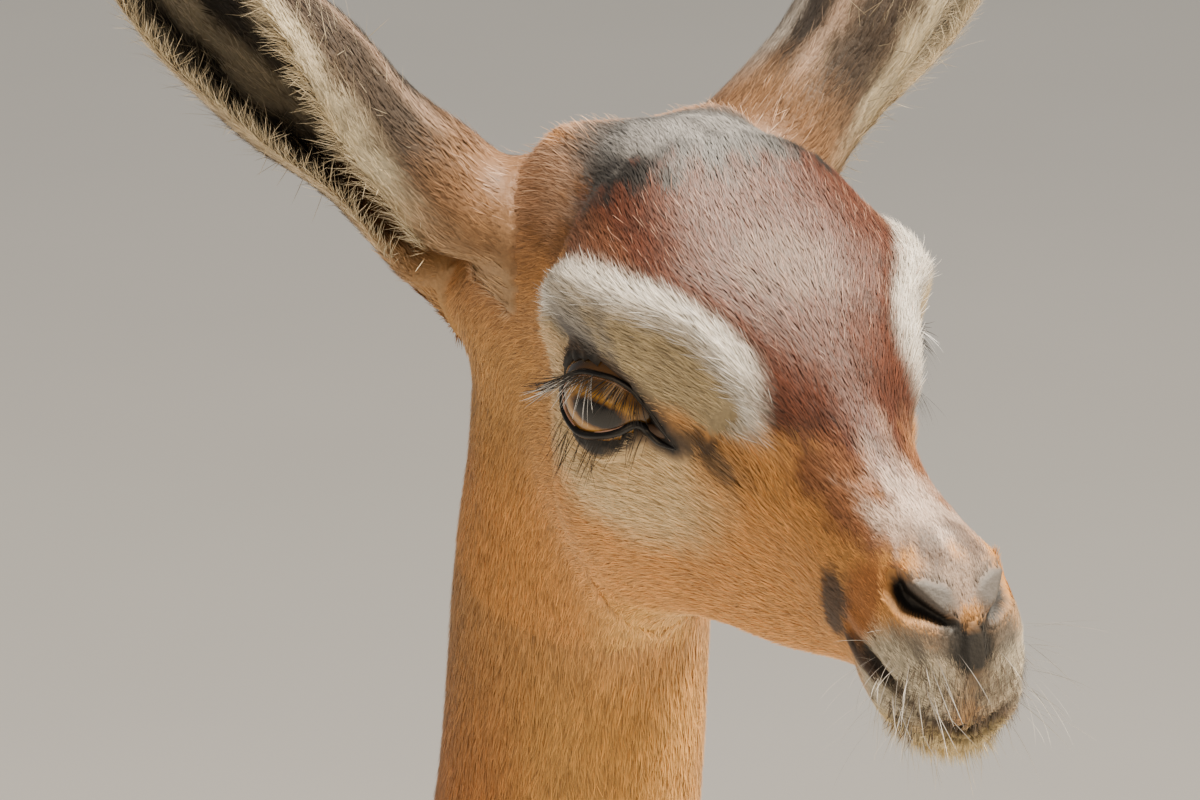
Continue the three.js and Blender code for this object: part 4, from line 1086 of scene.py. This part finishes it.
def addNode(tree, kind, settings=None, links=None):
    # one shader node with its own settings, its sockets' values and what feeds them
    made = tree.nodes.new("ShaderNode" + kind)
    for key, value in (settings or {}).items():
        if isinstance(key, int) or key in made.inputs:
            made.inputs[key].default_value = value
        else:
            setattr(made, key, value)
    for key, source in (links or {}).items():
        tree.links.new(source, made.inputs[key])
    return made


def newLook(name):
    made = bpy.data.materials.new(name)
    made.use_nodes = True
    tree = made.node_tree
    return made, tree, tree.nodes["Principled BSDF"]


def setShader(shader, **values):
    for key, value in values.items():
        shader.inputs[key.replace("_", " ")].default_value = value


# Antelope hair: dry, finely ridged, each hair in its own shade. It gives soft streaks with a dull
# gleam.
furLook, tree, shader = newLook("antelope_hair_grown")
tint = addNode(tree, "Attribute", {"attribute_name": "tint"})
tree.links.new(tint.outputs["Color"], shader.inputs["Base Color"])
setShader(shader, Roughness=0.52, IOR=1.5, Sheen_Weight=0.1)

# Hide under the coat: the same colours, dull, with a grain a little coarser than the hair
skinLook, tree, shader = newLook("hide_haired")
tint = addNode(tree, "Attribute", {"attribute_name": "tint"})
spot = addNode(tree, "TexCoord")
grain = addNode(tree, "TexNoise", {"Scale": 900.0, "Detail": 3.0}, {"Vector": spot.outputs["Object"]})
shadeMix = addNode(tree, "Mix", {"data_type": "RGBA", "blend_type": "MULTIPLY", "Factor": 0.5})
tree.links.new(tint.outputs["Color"], shadeMix.inputs[6])
tree.links.new(grain.outputs["Fac"], shadeMix.inputs[7])
tree.links.new(shadeMix.outputs[2], shader.inputs["Base Color"])
bump = addNode(tree, "Bump", {"Strength": 0.5, "Distance": 0.0004}, {"Height": grain.outputs["Fac"]})
tree.links.new(bump.outputs["Normal"], shader.inputs["Normal"])
setShader(shader, Roughness=0.6)

skin.data.vertices.foreach_set("co", skinPoints.astype(np.float32).ravel())
skin.data.color_attributes.new("tint", "FLOAT_COLOR", "POINT")
skinTint = np.concatenate([(rootTint + tipTint) / 2, np.ones((count, 1))], 1).astype(np.float32)
skin.data.color_attributes["tint"].data.foreach_set("color", skinTint.ravel())
skin.data.polygons.foreach_set("use_smooth", np.ones(len(skin.data.polygons), bool))
skin.data.materials.clear()
skin.data.update()
dress(skin, skinLook, "coat", *[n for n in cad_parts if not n.startswith(("eye_", "hoof_"))])

skinNormals = normalsOf(skinPoints, skinFaces)
muzzleFiner = 1 + 0.9 * ease(ahead, 60, 100)
neckTop = onHead * ease(-height, -1262, -1238)
onNeck = ease(height, 1150, 1180)
for seed, word, weight, slotName in (
        (11, "head", onHead * (1 - neckTop) * muzzleFiner, "coat"),
        (12, "ear", onEar * 1.0, "ear_coat"),
        (13, "neck", neckTop + onTrunk * onNeck, "coat"),
        (14, "body", onTrunk * (1 - onNeck) + onLeg * 1.3 + onTail * 1.5, "saddle")):
    name = "coat_ears" if word == "ear" else f"coat_{word}"
    coatPieces(name, weight, coat[word + "Hairs"], coat[word + "Width"], seed, slotName)

# Eyes: brown balls with a wide dark pupil, mapped by how far each place lies towards the nose
# and up as seen from the front
eye = {
    "around": 96, "rows": 72, "mapSize": 40, "iris": 24, "pupilWide": 7.5, "pupilHigh": 3.4,
    "stops": ((0.0, "#060404"), (0.5, "#0c0705"), (0.58, "#5c3c14"), (0.74, "#b5863a"), (1.0, "#7a5420")),
}
# An animal's eye, wet over clear horn: a hard bright gleam over a deep brown that runs to gold
wetEye, tree, shader = newLook("eye_wet_horn_clear")
mapped = addNode(tree, "UVMap", {"uv_map": "front"})
setShader(shader, Roughness=0.12, IOR=1.3, Coat_Weight=0.55, Coat_Roughness=0.02)
centred = addNode(tree, "VectorMath", {"operation": "SUBTRACT", 1: (0.5, 0.5, 0)}, {0: mapped.outputs["UV"]})
reaches = []
for acrossSize, upSize in ((eye["pupilWide"], eye["pupilHigh"]), (eye["iris"], eye["iris"])):
    scaled = addNode(tree, "VectorMath", {
        "operation": "MULTIPLY", 1: (eye["mapSize"] / acrossSize, eye["mapSize"] / upSize, 0)},
        {0: centred.outputs[0]})
    far = addNode(tree, "VectorMath", {"operation": "LENGTH"}, {0: scaled.outputs[0]})
    reaches.append(far.outputs["Value"])
streaks = addNode(tree, "TexNoise", {"Scale": 26.0, "Detail": 4.0}, {"Vector": mapped.outputs["UV"]})
spread = addNode(tree, "Math", {"operation": "MULTIPLY_ADD", 1: 0.5, 2: -0.05}, {0: reaches[0]})
broken = addNode(tree, "Math", {"operation": "MULTIPLY_ADD", 1: 0.16},
                 {0: streaks.outputs["Fac"], 2: spread.outputs[0]})
ramp = addNode(tree, "ValToRGB", None, {"Fac": broken.outputs[0]})
for number, (position, colour) in enumerate(eye["stops"]):
    stops = ramp.color_ramp.elements
    stop = stops[number] if number < 2 else stops.new(position)
    stop.position, stop.color = position, (*linear(colour), 1)
rimShade = addNode(tree, "MapRange", {"From Min": 0.42, "From Max": 0.56, "To Min": 1.0, "To Max": 0.12},
                   {"Value": reaches[1]})
darker = addNode(tree, "VectorMath", {"operation": "SCALE"},
                 {0: ramp.outputs["Color"], "Scale": rimShade.outputs[0]})
tree.links.new(darker.outputs[0], shader.inputs["Base Color"])


def eyeball(word, side):
    # the ball as rings round the way it looks, from the front to the back
    centre, axes = eyeFrame(side)
    polar = np.linspace(0.001, math.pi - 0.001, eye["rows"])[:, None]
    turn = np.arange(eye["around"]) * 2 * math.pi / eye["around"]
    local = np.stack([
        np.sin(polar) * np.cos(turn), np.sin(polar) * np.sin(turn), np.cos(polar) + 0 * turn], -1)
    local = local * body["eyeRadius"]
    points, faces, flat = closedTube(centre + local @ axes / 1000, "head")
    front = np.concatenate([local[..., :2].reshape(-1, 2), np.zeros((2, 2))])
    faces, flat = outwards(points - centre, faces, front[faces] / eye["mapSize"] + 0.5)
    made = meshFrom(f"eyeball_{word}", points, faces, flat)
    made.data.uv_layers[0].name = "front"
    dress(made, wetEye, "eye", f"eye_{word}")


for word, side in sides:
    eyeball(word, side)


def nearestOf(spots, mask):
    # number of the skin's point nearest each spot, among those of the mask
    some = np.flatnonzero(mask)
    found = np.concatenate([((part[:, None] - skinPoints[some][None]) ** 2).sum(-1).argmin(1)
                            for part in np.array_split(spots, 1 + len(spots) // 120)])
    return some[found]


def longHairs(name, roots, lie, up, settings, rootHex, tipHex, flat, seed):
    # sparse long hairs: the same flat blades with more joints, each a little different in length,
    # direction and shade
    source = np.random.default_rng(seed)
    amount = len(roots)
    low, high = settings["length"]
    length = source.uniform(low, high, amount) / 1000
    lie, up = unit(lie), unit(up)
    lie = unit(lie + source.normal(0, settings["stray"], lie.shape))
    up = unit(up - lie * (up * lie).sum(1, keepdims=True))
    rise = settings["rise"] * source.uniform(0.7, 1.3, amount)
    curl = settings["curl"] * source.uniform(0.5, 1.3, amount)
    width = settings["width"] * source.uniform(0.8, 1.2, amount) / 1000
    shade = (1 + 0.25 * source.normal(0, 1, (amount, 1))).clip(0.4, 1.7)
    dark, pale = linear(rootHex) * shade, linear(tipHex) * shade
    flat = 0.01 + 0.98 * (flat - flat.min(0)) / np.maximum(flat.max(0) - flat.min(0), 1e-6)
    points, faces, tint, corners = bladesOf(
        roots, lie, up, length, width, rise, curl, settings["joints"], dark, pale, flat)
    dress(meshFrom(name, points, faces, corners, tint), furLook, settings["slot"])


def scatter(name, weight, amount, seed, settings, rootHex, tipHex, along=1.0, off=0.0, pull=(0, 0, 0)):
    # sparse long hairs over part of the skin. The way they lie is the sum of the coat's lie, the
    # way out of the skin and the pull, each by its share.
    roots, up, lie, _, _, _, flat, _ = sample(weight, amount, seed)
    up = unit(up)
    longHairs(name, roots, unit(lie) * along + up * off + np.array(pull), up, settings, rootHex, tipHex, flat,
              seed + 1)


# Whiskers, chin and lip hairs
whisker = {
    "length": (16, 34), "stray": 0.16, "rise": 52, "curl": 0.25, "width": 0.2, "joints": 5, "slot": "coat",
}
chinHair = {
    "length": (3, 6.5), "stray": 0.2, "rise": 20, "curl": 0.1, "width": 0.15, "joints": 2, "slot": "coat",
}
chinLong = dict(chinHair, length=(7, 16), width=0.12, joints=4)
lipHair = dict(chinHair, length=(3, 6), width=0.16, rise=16)
chinWay = (0, -0.3, -1.0)
scatter("whiskers_lip", within((110, 13, -27), (12, 14, 13), 0.5), 90, 41, whisker, "#3a3028", "#e6e2da",
        -0.3, 0.2, headAxis["above"] * -0.25)
scatter("chin_fringe", within((108, 10, -49), (22, 20, 6), 0.5), 1900, 43, chinHair, "#cdb780", "#f6eac6",
        -0.4, 0, chinWay)
scatter("chin_long", within((104, 12, -48), (18, 18, 7), 0.5), 130, 45, chinLong, "#8a7a5c", "#efe6d0",
        -0.3, 0, chinWay)
scatter("lip_streaks", within((116, 8, -30), (10, 14, 11), 0.5) * (1 - bare), 1800, 47, lipHair,
        "#2a211b", "#6d5c4a", 0, 0.05, headAxis["above"] * -1.0)

# Brow and crown: long loose hairs over the crest, glinting hairs over the forehead
loose = {"length": (5, 9), "stray": 0.2, "rise": 14, "curl": 0.2, "width": 0.16, "joints": 3, "slot": "coat"}
glint = dict(loose, length=(4, 7), width=0.13, joints=2, rise=15)
pollHair = dict(loose, length=(5, 9), width=0.15, rise=17)
scatter("brow_crest", onHead * ease(-crestApart, -8, -3) * ease(above, 0, 6), 2600, 49, loose,
        "#b3aa9c", "#ffffff", 1, 0, (0, 0, -0.2))
foreheadPart = within((-2, 12, 38), (46, 30, 22), 0.6) * (1 - within((-62, 0, 46), (36, 60, 34), 0.4))
scatter("forehead_glints", foreheadPart, 700, 51, glint, "#5c3423", "#cfa58e")
scatter("poll_tufts", within((-82, 28, 28), (18, 22, 20), 0.6), 1100, 53, pollHair, "#8a6042", "#dcbca0")

# Ears: fringes that lean over the hollow from both rims, and long hairs inside
fringe = {
    "length": (2, 9), "stray": 0.42, "rise": 2, "curl": 0.1, "width": 0.12, "joints": 3,
    "slot": "ear_coat", "hairs": 2600, "stretch": (0.2, 0.93), "frontShare": 0.55,
    "strewn": 0.0006, "over": 0.55, "onward": 1.1,
}
hollowHair = dict(fringe, length=(8, 16), rise=16, width=0.16)
for word, side in sides:
    rings = inFrame(earRings(side))
    half = ear["across"] + 1
    row = chance.uniform(*fringe["stretch"], fringe["hairs"]) * ear["rows"]
    low = row.astype(int)
    part = (row - low)[:, None]
    backRim = rings[low, 0] * (1 - part) + rings[low + 1, 0] * part
    frontRim = rings[low, half - 1] * (1 - part) + rings[low + 1, half - 1] * part
    onward = unit(rings[low + 1, 0] - rings[low, 0])
    over = unit(backRim - frontRim)
    atFront = (chance.random(len(row)) < fringe["frontShare"])[:, None]
    roots = np.where(atFront, frontRim, backRim) + chance.normal(0, fringe["strewn"], (len(row), 3))
    lie = np.where(atFront, over, -over) * fringe["over"] + onward * fringe["onward"]
    mouthWay = unit(np.cross(onward, over))
    mouthWay *= np.sign((mouthWay * (roots - rings[low, half // 2])).sum(1, keepdims=True))
    nearest = nearestOf(roots, onEar & (skinPoints[:, 0] * side > 0))
    longHairs(f"ear_fringe_{word}", roots, lie, mouthWay, fringe, "#a8946c", "#efe2c4",
              pointFlat[nearest], 55)
    onSide = innerEar & (skinPoints[:, 0] * side > 0)
    inside = onSide * ease(earFar, 45, 75) * ease(np.abs(earShare), 0.3, 0.8)
    scatter(f"ear_hollow_{word}", inside, 1500, 56, hollowHair, "#6d614c", "#dccfb2")

# Lids: a dark moist rim round each opening, a wet line inside it, the corner's flesh and the lashes
rim = {"upper": 0.75, "lower": 1.15, "corner": 0.55, "around": 10, "wet": 0.3, "wetIn": 1.0,
       "flesh": (16.6, -0.6), "fleshSize": (3.9, 1.7, 1.5)}
# Bare wet skin at the lids, near black with a soft gleam; the thread of water on the lower lid, pale
# and bright; and the moist flesh of the corner, softer and browner
moist = {}
for name, colour, roughness, refraction, strength in (
        ("lid_rim_moist", "#0e0a09", 0.28, 1.4, 0.3), ("tear_line_wet", "#c9a08c", 0.08, 1.34, 0.1),
        ("eye_corner_moist", "#4a382b", 0.35, 1.4, 0.3)):
    moist[name], tree, shader = newLook(name)
    setShader(shader, Roughness=roughness, IOR=refraction, Base_Color=(*linear(colour), 1))
    spot = addNode(tree, "TexCoord")
    fine = addNode(tree, "TexNoise", {"Scale": 1500.0, "Detail": 2.0}, {"Vector": spot.outputs["Object"]})
    grain = addNode(tree, "Bump", {"Strength": strength, "Distance": 0.0002}, {"Height": fine.outputs["Fac"]})
    tree.links.new(grain.outputs["Normal"], shader.inputs["Normal"])


def loopTube(name, line, radius, look):
    # closed tube along a closed line: at each place a circle across the line's run
    n, around = len(line), rim["around"]
    onward = unit(np.roll(line, -1, 0) - np.roll(line, 1, 0))
    first = unit(np.cross(onward, (0, 0, 1.0)))
    second = np.cross(onward, first)
    turn = np.arange(around) * 2 * math.pi / around
    ring = first[:, None] * np.cos(turn)[:, None] + second[:, None] * np.sin(turn)[:, None]
    points = (line[:, None] + ring * radius[:, None, None]).reshape(-1, 3)
    faces, turned, _ = gridFaces(n + 1, around)
    faces = outwards(points, faces % (n * around), turned)[0]
    dress(meshFrom(name, points, faces), moist[look], "eye")


def lidPlaces(side):
    # places along the lid line on the skin's own depth, in the eye's axes
    centre, axes = eyeFrame(side)
    near = (np.linalg.norm(skinPoints - centre, axis=1) < 0.04) & (lidDistance > -0.2) & (lidDistance < 2.2)
    local = (skinPoints[near] - centre) @ axes.T * 1000
    local = local[local[:, 2] > 0]
    apart = np.linalg.norm(local[None, :, :2] - lidLine[:, None], axis=-1)
    weight = np.exp(-((apart / 1.1) ** 2)) + 1e-9
    depth = (weight * local[None, :, 2]).sum(1) / weight.sum(1)
    onBall = np.sqrt(np.maximum(0, (body["eyeRadius"] + 0.35) ** 2 - (lidLine ** 2).sum(1)))
    depth = np.where(lidLine[:, 0] < lids["ballEnds"], np.maximum(onBall, depth - 0.6), depth - 0.4)
    for _ in range(4):
        depth = (depth + np.roll(depth, 1) + np.roll(depth, -1)) / 3
    return centre, axes, np.concatenate([lidLine, depth[:, None]], 1)


# Each row of lashes has its stretch of the lid line, its hairs, their length, rise and curl, the
# way they point towards the nose and up, and their colours at root and tip
lashes = (
    ("lashes_upper", 0.0, 0.32, 130, (7, 15), 26, 0.35, (-0.9, -0.35), ("#0c0908", "#2b2726")),
    # painted highlight: a few lashes coloured grey to white stand for the glints of light on the black lashes
    ("lashes_painted_glint", 0.02, 0.16, 30, (9, 16), 30, 0.3, (-0.9, -0.5), ("#8d8d8d", "#ffffff")),
    ("lashes_lower", 0.62, 0.93, 60, (7, 19), 24, 0.2, (-0.1, -1.0), ("#17110d", "#2a211b")),
)
for word, side in sides:
    centre, axes, local = lidPlaces(side)
    part = np.arange(len(local)) / len(local)
    upperShare = ease(np.sin(part * 2 * math.pi + 0.2), -0.25, 0.25)
    radius = rim["lower"] + (rim["upper"] - rim["lower"]) * upperShare
    radius = radius * (1 - (1 - rim["corner"]) * np.exp(-(((local[:, 0] - 22) / 4) ** 2)))
    line = centre + local @ axes / 1000
    loopTube(f"lid_rim_{word}", line, radius / 1000, "lid_rim_moist")
    middle = np.array([1.5, 0.5])
    inner = local.copy()
    inner[:, :2] -= unit(local[:, :2] - middle) * rim["wetIn"]
    onBall = np.sqrt(np.maximum(1, (body["eyeRadius"] + 0.2) ** 2 - (inner[:, :2] ** 2).sum(1)))
    inner[:, 2] = np.where(inner[:, 0] < lids["ballEnds"] - 1, onBall, inner[:, 2])
    wetRadius = rim["wet"] * (1 - 0.8 * upperShare) * (1 - 0.7 * ease(local[:, 0], 9, 14))
    loopTube(f"tear_line_{word}", centre + inner @ axes / 1000, wetRadius / 1000, "tear_line_wet")
    h, v = rim["flesh"]
    depth = local[np.abs(local[:, 0] - h).argmin(), 2] - 1.2
    polar = np.linspace(0.02, math.pi - 0.02, 14)[:, None]
    turn = np.arange(20) * 2 * math.pi / 20
    ball = np.stack([
        np.cos(polar) + 0 * turn, np.sin(polar) * np.cos(turn), np.sin(polar) * np.sin(turn)], -1)
    ball = ball * rim["fleshSize"] + (h, v, depth)
    points, faces, flat = closedTube((centre + ball @ axes / 1000), "tail")
    faces, flat = outwards(points - centre - np.array([h, v, depth]) @ axes / 1000, faces, flat)
    dress(meshFrom(f"eye_corner_{word}", points, faces), moist["eye_corner_moist"], "eye")
    for name, low, high, amount, length, rise, curl, way, colours in lashes:
        at = chance.uniform(low, high, amount) * len(local)
        chosen = at.astype(int)
        roots = centre + (local[chosen] + chance.normal(0, 0.35, (amount, 3))) @ axes / 1000
        share = (chosen / len(local) - low) / (high - low)
        lean = np.stack([way[0] + 1.1 * share * (way[0] < -0.5), np.full(amount, way[1]) + 0.1 * share,
                         np.full(amount, 0.1)], -1)
        nearest = nearestOf(roots, onHead & (lidDistance < 8) & (lidDistance > 0))
        lash = dict(loose, stray=0.14, width=0.17, joints=4, length=length, rise=rise, curl=curl)
        longHairs(f"{name}_{word}", roots, lean @ axes, np.tile(axes[2], (amount, 1)), lash, *colours,
                  pointFlat[nearest], 61)
print("lids and long hairs done")

# Feet: claws of horn with growth lines, and dewclaws
claw = {
    "stations": [(17.5, 5.4, -17.5, -5.6, 0.42, 8.6, 1.9, 2.4), (27, -13, -20, -20, 0.42, 9, 1.6, 2.4),
                 (36, -30, -19, -35, 0.42, 8.8, 1.5, 2.4), (41, -43.5, -16, -43.5, 0.42, 8, 1.4, 2.4)],
    "out": 8.4, "gap": 0.9, "foreForward": 234.5, "hindForward": -290.5, "step": 2.5, "around": 40,
    "dewForward": (195, -335), "dewHeight": 109, "dewOut": 6.5, "dewRadius": 4.6, "dewLength": 14,
    "dewLean": 50, "dewRings": 12, "dewAround": 20, "dewPower": 1.6,
}
# Claw horn grown in layers: dull and dark, with fine level lines
hornLook, tree, shader = newLook("claw_horn_grown")
spot = addNode(tree, "TexCoord")
stretch = addNode(tree, "VectorMath", {"operation": "MULTIPLY", 1: (60, 60, 900)},
                  {0: spot.outputs["Object"]})
layers = addNode(tree, "TexNoise", {"Scale": 1.0, "Detail": 4.0}, {"Vector": stretch.outputs[0]})
tone = addNode(tree, "ValToRGB", None, {"Fac": layers.outputs["Fac"]})
tone.color_ramp.elements[0].color = (*linear("#171311"), 1)
tone.color_ramp.elements[1].color = (*linear("#4a4038"), 1)
tree.links.new(tone.outputs["Color"], shader.inputs["Base Color"])
ridge = addNode(tree, "Bump", {"Strength": 0.5, "Distance": 0.0005}, {"Height": layers.outputs["Fac"]})
tree.links.new(ridge.outputs["Normal"], shader.inputs["Normal"])
setShader(shader, Roughness=0.42, IOR=1.55)


def hornPiece(name, rings, *nodes):
    # a stack of rings closed into one piece of horn
    points, faces, flat = closedTube(rings, "tail")
    points = inFrame(points)
    faces, flat = outwards(points - points.mean(0), faces, flat)
    dress(meshFrom(name, points, faces), hornLook, "hoof", *nodes)


for leg, footForward, backForward in (("fore", claw["foreForward"], claw["dewForward"][0]),
                                      ("hind", claw["hindForward"], claw["dewForward"][1])):
    for word, side in sides:
        for half in (-1, 1):
            rows = []
            for topF, topZ, lowF, lowZ, *rest in claw["stations"]:
                rows.append([footForward + topF, body["hairline"] + topZ, footForward + lowF,
                             body["hairline"] + lowZ, *rest, body["footOut"] * side + claw["out"] * half])
            rings = sectionsOf(np.array(rows), [claw["step"]] * 3, claw["around"])[0]
            limit = body["footOut"] * side + claw["gap"] * half
            rings[..., 1] = np.maximum(rings[..., 1], limit) if half > 0 else np.minimum(rings[..., 1], limit)
            place = "outer" if half == side else "inner"
            hornPiece(f"claw_{leg}_{word}_{place}", rings, f"hoof_{leg}_{word}_{place}")
            share = np.linspace(0, 1, claw["dewRings"])[:, None]
            turn = np.arange(claw["dewAround"]) * 2 * math.pi / claw["dewAround"]
            thick = claw["dewRadius"] * np.sqrt(np.clip(1 - share ** claw["dewPower"], 0.0004, 1))
            lean = claw["dewLean"] * deg
            reach = share * claw["dewLength"]
            back = backForward - reach * math.cos(lean) + thick * np.cos(turn) * math.sin(lean)
            high = claw["dewHeight"] - reach * math.sin(lean) - thick * np.cos(turn) * math.cos(lean)
            aside = (body["footOut"] + claw["dewOut"] * half) * side + thick * np.sin(turn)
            hornPiece(f"dewclaw_{leg}_{word}_{place}", np.stack([back, aside, high], -1))

# Tail tuft: long black locks from the last part of the tail
tuft = {
    "length": (40, 66), "stray": 0.07, "rise": 8, "curl": 0.08, "width": 1.1, "joints": 4,
    "slot": "tail_tuft",
}
scatter("tail_tuft_hairs", onTail * ease(-height, -725, -690), 2600, 71, tuft, "#100c0b", "#2b221d",
        0, 0.08, (0, 0, -1.0))
print("feet and tuft done")

view = {
    "eyes": headPlace(0, 0, 0), "yaw": 28.5, "elevation": 16, "distance": 3.2,
    "perMillimetre": 3.8, "eyesAt": (766, 371), "size": (1200, 800), "sensor": 36,
}


def placeCamera():
    # camera on a line from the eyes, turned and raised by the view's angles, with the lens that
    # gives the picture's pixels to the millimetre at the eyes
    yaw, rise = view["yaw"] * deg, view["elevation"] * deg
    back = np.array([-math.sin(yaw) * math.cos(rise), -math.cos(yaw) * math.cos(rise), math.sin(rise)])
    right = np.array([math.cos(yaw), -math.sin(yaw), 0])
    up = np.cross(back, right)
    scale = view["perMillimetre"] * 1000
    offset = (np.array(view["size"]) / 2 - view["eyesAt"]) / scale
    target = view["eyes"] + right * offset[0] - up * offset[1]
    camera = bpy.data.cameras.new("camera")
    camera.sensor_width = view["sensor"]
    camera.lens = view["sensor"] * view["distance"] * scale / view["size"][0]
    camera.clip_start, camera.clip_end = 0.1, 100
    holder = bpy.data.objects.new("camera", camera)
    bpy.context.scene.collection.objects.link(holder)
    turn = Matrix(np.stack([right, up, back], -1).tolist()).to_4x4()
    turn.translation = target + back * view["distance"]
    holder.matrix_world = turn
    bpy.context.scene.camera = holder


placeCamera()


def areaLight(name, place, aim, size, power, colour):
    # round soft lamp at a place, turned towards its aim
    lamp = bpy.data.lights.new(name, "AREA")
    lamp.shape, lamp.size, lamp.energy, lamp.color = "DISK", size, power, linear(colour)
    holder = bpy.data.objects.new(name, lamp)
    bpy.context.scene.collection.objects.link(holder)
    holder.location = place
    holder.rotation_euler = (Vector(aim) - Vector(place)).to_track_quat("-Z", "Y").to_euler()


for row in (
        ("key", (1.25, -1.15, 4.3), (0, -0.35, 1.3), 0.8, 390, "#fff0da"),
        ("fill", (-3.0, -2.2, 2.0), (0, -0.2, 1.1), 2.4, 40, "#ffdfb2"),
        ("side", (2.6, -2.6, 1.3), (0, -0.4, 1.2), 1.6, 36, "#ffd9a0")):
    areaLight(*row)

room = {
    "air": (0.86, 0.85, 0.83, 1), "strength": 0.3, "floorRadius": 16, "floorSides": 64, "roughness": 0.75,
}
world = bpy.data.worlds.new("room")
bpy.context.scene.world = world
world.use_nodes = True
world.node_tree.nodes["Background"].inputs["Color"].default_value = room["air"]
world.node_tree.nodes["Background"].inputs["Strength"].default_value = room["strength"]

ring = np.arange(room["floorSides"]) * 2 * math.pi / room["floorSides"]
floorPoints = np.stack([np.cos(ring), np.sin(ring), 0 * ring], -1) * room["floorRadius"]
floor = meshFrom("floor", floorPoints, np.arange(room["floorSides"])[None])
# Painted screed, rolled and matt: an even pale grey with the faintest mottling and grain
floorLook, tree, shader = newLook("screed_painted_matt")
spot = addNode(tree, "TexCoord")
mottle = addNode(tree, "TexNoise", {"Scale": 2.5, "Detail": 5.0}, {"Vector": spot.outputs["Object"]})
tone = addNode(tree, "ValToRGB", None, {"Fac": mottle.outputs["Fac"]})
tone.color_ramp.elements[0].color = (*linear("#e9e8e5"), 1)
tone.color_ramp.elements[1].color = (*linear("#f3f2ef"), 1)
tree.links.new(tone.outputs["Color"], shader.inputs["Base Color"])
grain = addNode(tree, "TexNoise", {"Scale": 220.0, "Detail": 3.0}, {"Vector": spot.outputs["Object"]})
rolled = addNode(tree, "Bump", {"Strength": 0.2, "Distance": 0.0005}, {"Height": grain.outputs["Fac"]})
tree.links.new(rolled.outputs["Normal"], shader.inputs["Normal"])
setShader(shader, Roughness=room["roughness"])
floor.data.materials.append(floorLook)
floor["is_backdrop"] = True

low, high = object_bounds()
